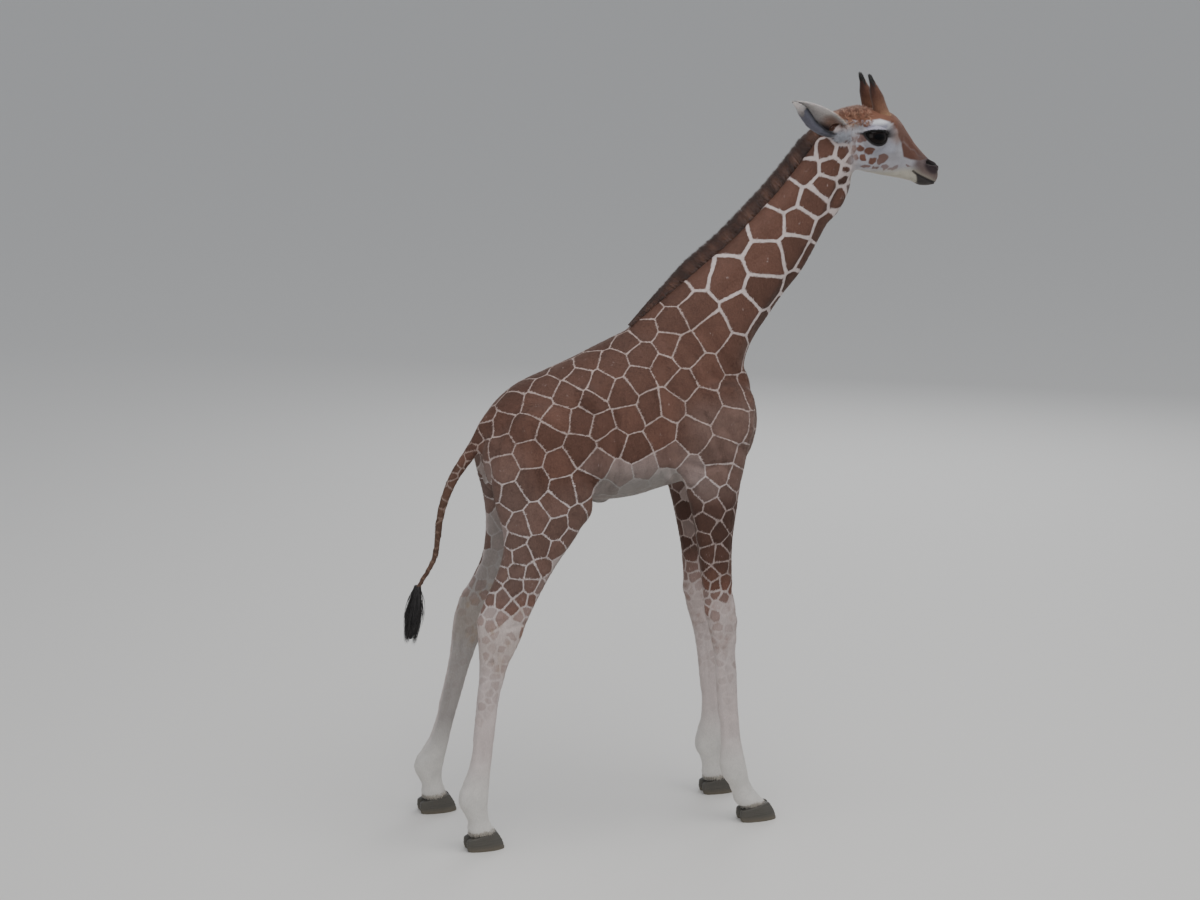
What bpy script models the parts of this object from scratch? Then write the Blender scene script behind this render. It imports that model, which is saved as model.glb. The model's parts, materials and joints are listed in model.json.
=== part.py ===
"""A young reticulated giraffe standing with its hind legs set back, as a life-size museum model.

Row frame: metres, +Z up, +X towards the head, +Y the animal's left. The origin is on the
floor, at the middle of the bounding box. The whole body is lofted from named sections, joined,
smoothed as one surface, and then parted into named solids by thin cuts.
"""

import math

import bmesh
import bpy
import numpy as np
from mathutils import Matrix, Vector

# ---------------------------------------------------------------- driving dimensions (metres)
ORIGIN_X = 0.2198          # fore-and-aft shift that puts the middle of the box at zero
ORIGIN_Y = 0.0055          # sideways shift, the same
GAP = 0.00035              # clearance between neighbouring solids
VOXEL = 0.0062             # grid the joined body is remeshed on
BODY_TRIANGLES = 3700      # faces kept in the joined body

WITHERS = 1.445            # top of the trunk over the shoulders
CROUP = 1.285              # top of the haunches
BELLY = 0.942              # lowest line of the belly
CHEST_FLOOR = 0.985        # sternum
CHEST_WIDTH = 0.29
BELLY_WIDTH = 0.32
HAUNCH_WIDTH = 0.30

EYE_RADIUS = 0.0285
EYE_AT = (0.7815, 0.0600, 1.9365)    # left eye before the head is turned; y is mirrored
HEAD_TURN = math.radians(8.0)        # head turned a little to its left
HEAD_PIVOT = (0.680, 0.0, 1.93)
EAR_WIDE = 0.0345                    # half the width of an ear where it is widest
MANE_HEIGHT = 0.040

HOOF_LENGTH = 0.106
HOOF_WIDTH = 0.068
CLEFT = 0.0045             # gap between the two claws of a foot
CORONET_FRONT = 0.050      # height of the hair line over the toe
CORONET_HEEL = 0.033       # and over the heel

# Trunk: x, top, bottom, half width, height of the widest point from the bottom (0 to 1)
TRUNK = (
    (-0.343, 1.165, 1.030, 0.028, 0.50),
    (-0.328, 1.200, 0.995, 0.055, 0.48),
    (-0.293, 1.243, 0.972, 0.086, 0.46),
    (-0.235, CROUP, 0.960, HAUNCH_WIDTH * 0.40, 0.45),
    (-0.155, 1.318, 0.955, HAUNCH_WIDTH * 0.465, 0.44),
    (-0.075, 1.350, 0.948, 0.146, 0.42),
    (0.005, 1.386, BELLY, BELLY_WIDTH * 0.485, 0.40),
    (0.085, 1.420, 0.948, BELLY_WIDTH * 0.485, 0.37),
    (0.160, WITHERS, 0.966, 0.149, 0.35),
    (0.240, 1.432, CHEST_FLOOR - 0.004, CHEST_WIDTH * 0.475, 0.34),
    (0.320, 1.375, CHEST_FLOOR, CHEST_WIDTH * 0.44, 0.38),
    (0.385, 1.315, 1.003, 0.102, 0.42),
    (0.428, 1.255, 1.045, 0.076, 0.46),
    (0.452, 1.195, 1.105, 0.042, 0.50),
)

# Neck: nape x, z; throat x, z; half width; height of the widest point from the throat
NECK = (
    (0.020, 1.360, 0.330, 1.090, 0.100, 0.40),
    (0.085, 1.428, 0.405, 1.225, 0.102, 0.38),
    (0.150, 1.482, 0.420, 1.318, 0.095, 0.38),
    (0.215, 1.533, 0.442, 1.372, 0.083, 0.40),
    (0.290, 1.592, 0.483, 1.430, 0.070, 0.42),
    (0.371, 1.656, 0.532, 1.496, 0.060, 0.44),
    (0.458, 1.739, 0.588, 1.562, 0.0535, 0.45),
    (0.516, 1.799, 0.632, 1.636, 0.0500, 0.47),
    (0.574, 1.867, 0.677, 1.718, 0.0480, 0.50),
    (0.622, 1.928, 0.712, 1.792, 0.0490, 0.54),
    (0.660, 1.972, 0.745, 1.842, 0.0500, 0.56),
)

# Skull: top x, z; bottom x, z; half width; height of the widest point from the bottom
SKULL = (
    (0.655, 1.972, 0.705, 1.858, 0.036, 0.62),
    (0.668, 1.992, 0.722, 1.842, 0.053, 0.64),
    (0.705, 2.006, 0.742, 1.838, 0.063, 0.64),
    (0.757, 2.014, 0.768, 1.836, 0.072, 0.66),
    (0.808, 2.012, 0.795, 1.830, 0.076, 0.66),
    (0.848, 2.002, 0.820, 1.824, 0.070, 0.66),
    (0.876, 1.982, 0.846, 1.820, 0.058, 0.64),
    (0.902, 1.949, 0.874, 1.817, 0.047, 0.60),
    (0.931, 1.912, 0.903, 1.816, 0.0395, 0.58),
    (0.957, 1.884, 0.932, 1.812, 0.0370, 0.56),
    (0.980, 1.862, 0.962, 1.800, 0.0385, 0.50),
    (1.000, 1.840, 0.986, 1.791, 0.0360, 0.48),
    (1.011, 1.820, 1.003, 1.792, 0.0240, 0.50),
)

# Lower jaw: top x, z; bottom x, z; half width
JAW = (
    (0.735, 1.905, 0.738, 1.846, 0.036),
    (0.780, 1.892, 0.770, 1.834, 0.041),
    (0.840, 1.868, 0.828, 1.820, 0.036),
    (0.895, 1.842, 0.884, 1.808, 0.029),
    (0.940, 1.818, 0.930, 1.796, 0.025),
    (0.968, 1.808, 0.958, 1.782, 0.026),
    (0.988, 1.800, 0.982, 1.784, 0.020),
)

# Legs: height, front x, rear x, distance of the middle from the midline, half width
RIGHT_FORE = (
    (1.270, 0.385, 0.190, 0.078, 0.046),
    (1.170, 0.425, 0.195, 0.095, 0.052),
    (1.070, 0.400, 0.190, 0.108, 0.053),
    (0.990, 0.377, 0.210, 0.120, 0.047),
    (0.905, 0.361, 0.230, 0.129, 0.042),
    (0.820, 0.348, 0.243, 0.135, 0.038),
    (0.740, 0.346, 0.253, 0.139, 0.0345),
    (0.665, 0.352, 0.262, 0.141, 0.0335),
    (0.610, 0.3595, 0.270, 0.142, 0.0355),
    (0.560, 0.3605, 0.281, 0.142, 0.0330),
    (0.500, 0.3610, 0.293, 0.142, 0.0265),
    (0.420, 0.364, 0.299, 0.142, 0.0235),
    (0.310, 0.3705, 0.308, 0.142, 0.0235),
    (0.240, 0.378, 0.312, 0.142, 0.0260),
    (0.180, 0.390, 0.315, 0.142, 0.0305),
    (0.140, 0.399, 0.323, 0.142, 0.0310),
    (0.105, 0.413, 0.336, 0.142, 0.0300),
    (0.075, 0.432, 0.350, 0.143, 0.0305),
    (0.045, 0.458, 0.366, 0.143, 0.0325),
    (0.020, 0.470, 0.373, 0.143, 0.0330),
)
LEFT_FORE = (
    (1.270, 0.385, 0.190, 0.078, 0.046),
    (1.170, 0.425, 0.195, 0.095, 0.052),
    (1.070, 0.400, 0.190, 0.106, 0.053),
    (0.990, 0.380, 0.218, 0.114, 0.047),
    (0.905, 0.372, 0.243, 0.117, 0.042),
    (0.820, 0.369, 0.263, 0.118, 0.038),
    (0.740, 0.370, 0.277, 0.118, 0.0345),
    (0.665, 0.374, 0.283, 0.118, 0.0335),
    (0.610, 0.379, 0.287, 0.118, 0.0355),
    (0.560, 0.381, 0.297, 0.118, 0.0330),
    (0.500, 0.383, 0.314, 0.118, 0.0265),
    (0.420, 0.390, 0.327, 0.118, 0.0235),
    (0.310, 0.399, 0.337, 0.118, 0.0235),
    (0.240, 0.404, 0.337, 0.118, 0.0260),
    (0.180, 0.405, 0.328, 0.118, 0.0305),
    (0.140, 0.405, 0.325, 0.118, 0.0310),
    (0.105, 0.409, 0.333, 0.118, 0.0300),
    (0.075, 0.415, 0.342, 0.118, 0.0305),
    (0.045, 0.433, 0.347, 0.118, 0.0325),
    (0.020, 0.443, 0.348, 0.118, 0.0330),
)
RIGHT_HIND = (
    (1.215, -0.060, -0.275, 0.072, 0.045),
    (1.130, -0.052, -0.320, 0.086, 0.054),
    (1.045, -0.056, -0.341, 0.099, 0.057),
    (0.970, -0.062, -0.333, 0.109, 0.056),
    (0.910, -0.078, -0.318, 0.117, 0.051),
    (0.860, -0.108, -0.312, 0.121, 0.046),
    (0.810, -0.147, -0.321, 0.124, 0.041),
    (0.760, -0.181, -0.341, 0.127, 0.037),
    (0.705, -0.213, -0.370, 0.130, 0.033),
    (0.655, -0.239, -0.389, 0.134, 0.031),
    (0.605, -0.263, -0.393, 0.138, 0.0325),
    (0.550, -0.289, -0.390, 0.143, 0.0300),
    (0.490, -0.314, -0.392, 0.148, 0.0260),
    (0.430, -0.333, -0.400, 0.152, 0.0238),
    (0.340, -0.347, -0.411, 0.158, 0.0232),
    (0.260, -0.358, -0.424, 0.162, 0.0250),
    (0.205, -0.366, -0.440, 0.165, 0.0290),
    (0.155, -0.371, -0.454, 0.167, 0.0310),
    (0.115, -0.370, -0.453, 0.168, 0.0300),
    (0.078, -0.366, -0.436, 0.168, 0.0300),
    (0.045, -0.348, -0.431, 0.168, 0.0325),
    (0.020, -0.340, -0.434, 0.168, 0.0330),
)
LEFT_HIND = (
    (1.215, -0.060, -0.275, 0.072, 0.045),
    (1.130, -0.052, -0.320, 0.086, 0.054),
    (1.045, -0.055, -0.336, 0.099, 0.057),
    (0.970, -0.062, -0.318, 0.110, 0.056),
    (0.910, -0.084, -0.306, 0.119, 0.051),
    (0.860, -0.116, -0.302, 0.124, 0.046),
    (0.810, -0.150, -0.304, 0.128, 0.041),
    (0.760, -0.180, -0.313, 0.132, 0.037),
    (0.705, -0.207, -0.337, 0.137, 0.033),
    (0.655, -0.229, -0.366, 0.141, 0.031),
    (0.605, -0.256, -0.387, 0.146, 0.0325),
    (0.550, -0.290, -0.396, 0.151, 0.0300),
    (0.490, -0.321, -0.401, 0.156, 0.0260),
    (0.430, -0.343, -0.410, 0.161, 0.0238),
    (0.340, -0.368, -0.430, 0.167, 0.0232),
    (0.260, -0.391, -0.452, 0.171, 0.0250),
    (0.205, -0.404, -0.473, 0.174, 0.0290),
    (0.155, -0.416, -0.500, 0.176, 0.0310),
    (0.115, -0.420, -0.505, 0.178, 0.0300),
    (0.078, -0.418, -0.488, 0.179, 0.0300),
    (0.045, -0.408, -0.484, 0.179, 0.0325),
    (0.020, -0.398, -0.486, 0.179, 0.0330),
)

# Feet: side (+1 left), heel x, middle y
FEET = {
    "fore_right": (-1, 0.374, 0.143),
    "fore_left": (1, 0.345, 0.118),
    "hind_right": (-1, -0.436, 0.168),
    "hind_left": (1, -0.490, 0.179),
}

# Tail: x, z, radius
TAIL = (
    (-0.285, 1.205, 0.034),
    (-0.322, 1.165, 0.030),
    (-0.352, 1.122, 0.0235),
    (-0.388, 1.076, 0.0190),
    (-0.420, 1.030, 0.0165),
    (-0.444, 0.978, 0.0145),
    (-0.461, 0.920, 0.0130),
    (-0.469, 0.860, 0.0118),
    (-0.476, 0.812, 0.0108),
    (-0.492, 0.776, 0.0100),
    (-0.513, 0.744, 0.0095),
    (-0.526, 0.718, 0.0095),
)
TUFT = (
    (-0.5235, 0.7225, 0.0100),
    (-0.531, 0.700, 0.0220),
    (-0.537, 0.660, 0.0290),
    (-0.541, 0.620, 0.0280),
    (-0.547, 0.580, 0.0200),
    (-0.552, 0.556, 0.0080),
)

# Muscles and bones that swell the lofted surface: centre (left side), radii, pitch in degrees
SWELLS = (
    ((0.245, 0.084, 1.255), (0.062, 0.032, 0.120), 22),    # shoulder blade
    ((0.368, 0.082, 1.175), (0.060, 0.042, 0.090), 18),    # point of the shoulder
    ((0.268, 0.106, 1.090), (0.075, 0.042, 0.078), 30),    # triceps
    ((0.388, 0.040, 1.100), (0.050, 0.040, 0.066), 0),     # breast muscle
    ((0.375, 0.042, 1.260), (0.050, 0.040, 0.090), -20),   # neck muscle over the breast
    ((-0.060, 0.098, 1.240), (0.052, 0.036, 0.050), 0),    # point of the hip
    ((-0.190, 0.098, 1.140), (0.105, 0.044, 0.105), 20),   # rump muscle
    ((-0.115, 0.120, 0.975), (0.060, 0.042, 0.085), -12),  # thigh over the stifle
)


# ---------------------------------------------------------------- helpers
def clear_scene():
    for thing in list(bpy.data.objects):
        bpy.data.objects.remove(thing, do_unlink=True)


def curve_through(rows, per_span):
    """Rows of numbers read from a smooth curve through the given rows."""
    rows = np.array(rows, float)
    ends = np.vstack([2 * rows[0] - rows[1], rows, 2 * rows[-1] - rows[-2]])
    out = []
    for i in range(1, len(ends) - 2):
        a, b, c, d = ends[i - 1 : i + 3]
        for j in range(per_span):
            t = j / per_span
            out.append(
                0.5 * (2 * b + (c - a) * t + (2 * a - 5 * b + 4 * c - d) * t * t
                       + (3 * b - a - 3 * c + d) * t ** 3)
            )
    out.append(rows[-1])
    return np.array(out)


def ring(middle, up, side, half_up, half_side, widest, sides=28, square=2.25):
    """A closed section: half_up along up, half_side along side, widest at a share of the height."""
    points = []
    shift = (widest - 0.5) * 2
    for k in range(sides):
        angle = 2 * math.pi * k / sides
        c, s = math.cos(angle), math.sin(angle)
        c = math.copysign(abs(c) ** (2 / square), c)
        s = math.copysign(abs(s) ** (2 / square), s)
        bias = s * (1 + 0.90 * shift * c) if shift else s
        points.append(middle + up * half_up * (c + 0.16 * shift * (1 - c * c)) + side * half_side * bias)
    return points


def loft(bm, rings):
    """A closed tube through sections of equal length, with flat ends."""
    loops = [[bm.verts.new(p) for p in one] for one in rings]
    count = len(loops[0])
    for first, second in zip(loops, loops[1:]):
        for k in range(count):
            m = (k + 1) % count
            bm.faces.new((first[k], first[m], second[m], second[k]))
    bm.faces.new(loops[0][::-1])
    bm.faces.new(loops[-1])


def mesh_object(name, bm, collection):
    bmesh.ops.recalc_face_normals(bm, faces=bm.faces)
    mesh = bpy.data.meshes.new(name)
    bm.to_mesh(mesh)
    bm.free()
    made = bpy.data.objects.new(name, mesh)
    collection.objects.link(made)
    return made


def paired_rings(rows, sides=28, square=2.25):
    """Sections between an upper and a lower line: x, z, x, z, half width, widest."""
    for row in curve_through(rows, 4):
        top = Vector((row[0], 0, row[1]))
        low = Vector((row[2], 0, row[3]))
        widest = row[5] if len(row) > 5 else 0.5
        yield ring((top + low) / 2, (top - low).normalized(), Vector((0, 1, 0)),
                   (top - low).length / 2, max(row[4], 0.003), widest, sides, square)


def trunk_rings():
    for x, top, low, half, widest in curve_through(TRUNK, 4):
        yield ring(Vector((x, 0, (top + low) / 2)), Vector((0, 0, 1)), Vector((0, 1, 0)),
                   (top - low) / 2, max(half, 0.01), widest, 36, 2.2)


def leg_rings(rows, side):
    for z, front, rear, out, half in curve_through(rows, 3):
        yield ring(Vector(((front + rear) / 2, side * out, z)), Vector((1, 0, 0)),
                   Vector((0, 1, 0)), (front - rear) / 2, half, 0.5, 22, 2.1 + 0.25 * min(max((1.0 - z) * 4, 0), 1))


def tail_rings(rows, flat=1.0):
    path = curve_through([(x, 0, z, r) for x, z, r in rows], 4)
    for i, (x, y, z, r) in enumerate(path):
        a, b = path[max(i - 1, 0)], path[min(i + 1, len(path) - 1)]
        along = Vector((b[0] - a[0], 0, b[2] - a[2])).normalized()
        across = Vector((-along.z, 0, along.x))
        yield ring(Vector((x, 0, z)), across, Vector((0, 1, 0)), r, r * flat, 0.5, 16, 2.0)


def turn_head(bm_verts, pivot=HEAD_PIVOT, start=-0.03, full=0.05):
    """Turns points ahead of the pivot to the left, fading in behind it."""
    for v in bm_verts:
        dx = v.co.x - pivot[0]
        share = min(max((dx - start) / (full - start), 0), 1)
        share = share * share * (3 - 2 * share)
        if share:
            turn = Matrix.Rotation(HEAD_TURN * share, 3, "Z")
            v.co = turn @ (v.co - Vector(pivot)) + Vector(pivot)


def add_swell(bm, centre, radii, pitch):
    made = bmesh.ops.create_icosphere(bm, subdivisions=3, radius=1.0)
    place = (Matrix.Translation(centre) @ Matrix.Rotation(math.radians(pitch), 4, "Y")
             @ Matrix.Diagonal((*radii, 1)))
    bmesh.ops.transform(bm, matrix=place, verts=made["verts"])


def head_forms(bm):
    """Skull, jaw and the forms over them, before the head is turned."""
    loft(bm, paired_rings(SKULL, 32, 2.2))
    loft(bm, paired_rings(JAW, 24, 2.2))
    for side in (1, -1):
        x, y, z = EYE_AT
        add_swell(bm, (x - 0.004, side * (y - 0.014), z + 0.008), (0.044, 0.034, 0.036), 20)     # orbit
        add_swell(bm, (0.764, side * 0.040, 1.884), (0.050, 0.024, 0.040), 25)                  # cheek
        add_swell(bm, (0.985, side * 0.021, 1.832), (0.022, 0.0175, 0.021), 40)                 # nostril wing
        add_swell(bm, (0.972, side * 0.016, 1.803), (0.034, 0.019, 0.014), 25)                  # upper lip
        add_swell(bm, (0.672, side * 0.046, 1.955), (0.030, 0.024, 0.030), 0)                   # ear root
    add_swell(bm, (0.975, 0, 1.791), (0.020, 0.017, 0.011), 20)                                 # chin


def body_forms(bm):
    loft(bm, trunk_rings())
    loft(bm, paired_rings(NECK, 28, 2.1))
    start = len(bm.verts)
    for rows, side in ((RIGHT_FORE, -1), (LEFT_FORE, 1), (RIGHT_HIND, -1), (LEFT_HIND, 1)):
        loft(bm, leg_rings(rows, side))
    loft(bm, tail_rings(TAIL))
    loft(bm, tail_rings(TUFT, 0.8))
    for side in (1, -1):
        for centre, radii, pitch in SWELLS:
            add_swell(bm, (centre[0], side * centre[1], centre[2]), radii, pitch)
        add_swell(bm, (-0.318, side * 0.052, 1.085), (0.034, 0.040, 0.075), 0)                  # buttock
    add_swell(bm, (0.008, 0, 0.946), (0.034, 0.016, 0.020), -20)                                # sheath fold
    add_swell(bm, (0.690, 0, 1.765), (0.027, 0.026, 0.082), 28)                                 # larynx
    bm.verts.ensure_lookup_table()
    before = len(bm.verts)
    head_forms(bm)
    bm.verts.ensure_lookup_table()
    turn_head(bm.verts[before:])


def evaluated_mesh(thing):
    bpy.context.view_layer.update()
    graph = bpy.context.evaluated_depsgraph_get()
    return bpy.data.meshes.new_from_object(thing.evaluated_get(graph))


def apply_modifiers(thing):
    made = evaluated_mesh(thing)
    thing.modifiers.clear()
    thing.data = made


def relax(mesh, rounds, weight=None, keep=0.53):
    """Smooths a mesh and keeps its volume, by alternate inward and outward steps."""
    count = len(mesh.vertices)
    co = np.empty(count * 3)
    mesh.vertices.foreach_get("co", co)
    co = co.reshape(-1, 3)
    edges = np.empty(len(mesh.edges) * 2, np.int32)
    mesh.edges.foreach_get("vertices", edges)
    a, b = edges.reshape(-1, 2).T
    degree = np.bincount(a, minlength=count) + np.bincount(b, minlength=count)
    w = np.ones(count) if weight is None else weight(co)
    for _ in range(rounds):
        for step in (0.5, -keep):
            total = np.empty_like(co)
            for axis in range(3):
                total[:, axis] = (np.bincount(a, co[b, axis], count) + np.bincount(b, co[a, axis], count))
            co = co + step * w[:, None] * (total / degree[:, None] - co)
    mesh.vertices.foreach_set("co", co.ravel())
    mesh.update()


def near(co, point, reach):
    d = np.linalg.norm(co - np.array(point), axis=1) / reach
    return np.clip(1 - d, 0, 1)


def joint_weight(co):
    """Strong smoothing where limbs and neck grow out of the trunk, little at the head and feet."""
    w = np.full(len(co), 0.25)
    for point, reach in (((0.30, 0.12, 1.10), 0.22), ((0.30, -0.12, 1.10), 0.22),
                         ((-0.12, 0.12, 1.08), 0.27), ((-0.12, -0.12, 1.08), 0.27),
                         ((0.20, 0, 1.36), 0.24), ((-0.32, 0, 1.15), 0.12), ((0.66, 0, 1.92), 0.12),
                         ((0.42, 0, 1.31), 0.18), ((0.34, 0.09, 1.29), 0.17), ((0.34, -0.09, 1.29), 0.17),
                         ((0.69, 0, 1.77), 0.11)):
        w = np.maximum(w, np.clip(near(co, point, reach) * 3, 0, 1))
    return w


def slab(bm, centre, normal, size_u, size_v, thick=GAP, roll=0.0):
    """A thin box across a limb: its face is turned to the normal."""
    made = bmesh.ops.create_cube(bm, size=1.0)
    turn = Vector(normal).to_track_quat("Z", "Y").to_matrix().to_4x4()
    place = (Matrix.Translation(centre) @ turn @ Matrix.Rotation(roll, 4, "Z")
             @ Matrix.Diagonal((size_u, size_v, thick, 1)))
    bmesh.ops.transform(bm, matrix=place, verts=made["verts"])


def placed_box(bm, corner_axes, low, high):
    """A box between two corners given along three axes from an origin."""
    origin, axes = corner_axes
    made = bmesh.ops.create_cube(bm, size=1.0)
    for v in made["verts"]:
        share = [low[i] + (high[i] - low[i]) * (v.co[i] + 0.5) for i in range(3)]
        v.co = origin + axes[0] * share[0] + axes[1] * share[1] + axes[2] * share[2]


def folded_slab(bm, cross, origin, along, across, start, end, low, high, depth, kind):
    """A thin cut in the plane of along and across, and in cross the thin cut at right angles that closes it."""
    origin, along, across = Vector(origin), Vector(along).normalized(), Vector(across).normalized()
    out = along.cross(across).normalized()
    if kind == "jaw":
        out = out if out.z < 0 else -out
    elif out.y * origin.y < 0:
        out = -out
    axes = (along, across, out)
    placed_box(bm, (origin, axes), (start - 0.0005, low, 0), (end, high, GAP))
    at = end if kind == "high" else start
    placed_box(cross, (origin, axes), (at - GAP / 2, low, -0.0005), (at + GAP / 2, high, depth))


def difference(thing, cutter, solver="EXACT"):
    cut = thing.modifiers.new("cut", "BOOLEAN")
    cut.operation = "DIFFERENCE"
    cut.solver = solver
    cut.object = cutter
    apply_modifiers(thing)


def as_cutter(thing):
    thing.hide_render = True
    thing.display_type = "WIRE"
    return thing


def material(name, colour, rough):
    made = bpy.data.materials.new(name)
    made.use_nodes = True
    shader = next(n for n in made.node_tree.nodes if n.type == "BSDF_PRINCIPLED")
    shader.inputs["Base Color"].default_value = (*colour, 1)
    shader.inputs["Roughness"].default_value = rough
    shader.inputs["Metallic"].default_value = 0.0
    made.diffuse_color = (*colour, 1)
    return made


def shade(thing, made):
    thing.data.materials.clear()
    thing.data.materials.append(made)
    thing.data.shade_smooth()


# ---------------------------------------------------------------- build
clear_scene()
giraffe = bpy.data.collections.new("reticulated_giraffe")
cutters = bpy.data.collections.new("cutters")
bpy.context.scene.collection.children.link(giraffe)
bpy.context.scene.collection.children.link(cutters)

coat = material("patched_coat", (0.30, 0.13, 0.07), 0.75)
pale = material("pale_coat", (0.62, 0.52, 0.45), 0.75)
black_hair = material("black_hair", (0.02, 0.018, 0.016), 0.6)
mane_hair = material("mane_hair", (0.13, 0.05, 0.03), 0.7)
eye_dark = material("eye_dark", (0.01, 0.008, 0.008), 0.1)
horn = material("hoof_horn", (0.12, 0.11, 0.10), 0.55)
horn_skin = material("ossicone_coat", (0.33, 0.14, 0.06), 0.75)

# The joined body.
bm = bmesh.new()
body_forms(bm)
body = mesh_object("body", bm, giraffe)
grid = body.modifiers.new("grid", "REMESH")
grid.mode = "VOXEL"
grid.voxel_size = VOXEL
grid.use_smooth_shade = True
apply_modifiers(body)
relax(body.data, 9)
relax(body.data, 110, joint_weight)
thin = body.modifiers.new("fewer", "DECIMATE")
thin.ratio = BODY_TRIANGLES / max(sum(len(p.vertices) - 2 for p in body.data.polygons), 1)
apply_modifiers(body)

# A copy standing just outside the body trims what sits on it.
proud = as_cutter(mesh_object("proud_body", bmesh.new(), cutters))
proud.data = body.data.copy()
normals = np.empty(len(body.data.vertices) * 3)
body.data.vertices.foreach_get("normal", normals)
co = np.empty_like(normals)
body.data.vertices.foreach_get("co", co)
proud.data.vertices.foreach_set("co", co + normals * GAP * 3.2)
proud.data.update()


def turned(point):
    """A point of the unturned head after the head is turned."""
    pivot = Vector(HEAD_PIVOT)
    return Matrix.Rotation(HEAD_TURN, 3, "Z") @ (Vector(point) - pivot) + pivot


# Eyes, with a socket cut for each.
eyes = {}
bm = bmesh.new()
for name, side in (("eye_left", 1), ("eye_right", -1)):
    at = turned((EYE_AT[0], side * EYE_AT[1], EYE_AT[2]))
    ball = bmesh.new()
    bmesh.ops.create_icosphere(ball, subdivisions=2, radius=EYE_RADIUS, matrix=Matrix.Translation(at))
    eyes[name] = mesh_object(name, ball, giraffe)
    bmesh.ops.create_icosphere(bm, subdivisions=2, radius=EYE_RADIUS + 3 * GAP, matrix=Matrix.Translation(at))
sockets = as_cutter(mesh_object("sockets", bm, cutters))
difference(body, sockets)

# Thin cuts that part the body.
bm = bmesh.new()
placed_box(bm, (Vector((0.290, 0, 1.430)), (Vector((0.69, 0, -0.724)), Vector((0, 1, 0)), Vector((0.724, 0, 0.69)))),
           (-0.30, -0.15, 0), (0.30, 0.15, GAP))                               # neck from trunk
slab(bm, (0.660, 0, 1.885), (0.52, 0, 0.70), 0.26, 0.24)                       # head from neck
slab(bm, (-0.377, 0, 1.092), (-0.594, 0, -0.804), 0.064, 0.064)                # tail from trunk
slab(bm, (-0.5245, 0, 0.7195), (-0.42, 0, -0.90), 0.06, 0.06)                  # tuft from tail
# Each shoulder and thigh leaves the trunk along a slanting face that a cross face closes.
slant, cross = bmesh.new(), bmesh.new()
for side in (1, -1):
    folded_slab(slant, cross, (0.300, side * 0.052, 0.985), (1, 0, 0), (0, side * 0.40, 0.917),
                -0.135, 0.22, -0.10, 0.30, 0.20, "low")
    folded_slab(slant, cross, (-0.190, side * 0.050, 0.930), (1, 0, 0), (0, side * 0.50, 0.866),
                -0.22, 0.145, -0.10, 0.26, 0.20, "high")
# The jaw parts along the line of the mouth, up to a cross face behind the cheek.
hinge, front = turned((0.745, 0, 1.893)), turned((1.020, 0, 1.782))
ahead = (front - hinge).normalized()
folded_slab(slant, cross, hinge, ahead, Matrix.Rotation(HEAD_TURN, 3, "Z") @ Vector((0, 1, 0)),
            0.0, 0.30, -0.09, 0.09, 0.066, "jaw")
for name, shape in (("slanting_cuts", slant), ("cross_cuts", cross)):
    difference(body, as_cutter(mesh_object(name, shape, cutters)))
for rows, side in ((RIGHT_FORE, -1), (LEFT_FORE, 1)):
    y = side * 0.125
    slab(bm, (0.300, y, 0.948), (0, 0, 1), 0.24, 0.20)                         # forearm from shoulder
    slab(bm, (0.325, y, 0.602), (0, 0, 1), 0.20, 0.20)                         # knee
    slab(bm, (0.360, y, 0.170), (0.10, 0, 1), 0.20, 0.20)                      # fetlock
for rows, side in ((RIGHT_HIND, -1), (LEFT_HIND, 1)):
    y = side * 0.145
    slab(bm, (-0.215, y, 0.865), (0.15, 0, 1), 0.30, 0.24)                     # gaskin from thigh
    slab(bm, (-0.330, y, 0.602), (0.25, 0, 1), 0.26, 0.20)                     # hock
    slab(bm, (-0.430, y, 0.163), (0.12, 0, 1), 0.22, 0.20)                     # fetlock
parting = as_cutter(mesh_object("parting", bm, cutters))
difference(body, parting)

# Feet are cut off at the slanting hair line; the hooves are separate pieces below it.
slope = (CORONET_FRONT - CORONET_HEEL) / (HOOF_LENGTH * 0.72)
bm = bmesh.new()
for side, heel, out in FEET.values():
    made = bmesh.ops.create_cube(bm, size=1.0)
    place = Matrix.Translation((heel + 0.036, side * out, CORONET_HEEL + 0.036 * slope)) \
        @ Matrix.Rotation(-math.atan(slope), 4, "Y") @ Matrix.Translation((0, 0, -0.06)) \
        @ Matrix.Diagonal((0.20, 0.12, 0.12, 1))
    bmesh.ops.transform(bm, matrix=place, verts=made["verts"])
floors = as_cutter(mesh_object("hair_lines", bm, cutters))
difference(body, floors)


def claw(name, foot, inner):
    """One claw of a cloven hoof: sections from the flat sole up to the hair line."""
    side, heel, out = FEET[foot]
    half = (HOOF_WIDTH - CLEFT) / 4
    middle = side * out - side * inner * (half + CLEFT / 2)
    toward = side * inner            # the cleft lies on this side of the claw
    shape = bmesh.new()
    rings = []
    for level, shrink, lean in ((0.0, 0.965, 0.0), (0.05, 1.0, 0.0), (0.45, 0.97, 0.40), (1.0, 0.90, 1.0)):
        loop = []
        for k in range(14):
            angle = 2 * math.pi * k / 14
            c, s = math.cos(angle), math.sin(angle)
            long = HOOF_LENGTH / 2 * shrink * (0.90 if level == 1.0 else 1.0)
            x = math.copysign(abs(c) ** 0.85, c) * long
            y = math.copysign(abs(s) ** 0.72, s) * half * shrink
            point = max(x / long, 0) ** 2
            y = y * (1 - 0.42 * point) + toward * half * 0.26 * point
            if toward * s > 0:
                y *= 0.96
            x += heel + HOOF_LENGTH / 2 - lean * 0.012
            top = CORONET_HEEL + (x - heel) * slope
            loop.append(Vector((x, middle + y, level * (top - GAP * 1.5))))
        rings.append(loop)
    loft(shape, rings)
    return mesh_object(name, shape, giraffe)


hooves = [claw(f"hoof_{foot}_{where}", foot, inner)
          for foot in FEET for where, inner in (("outer", -1), ("inner", 1))]


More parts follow.
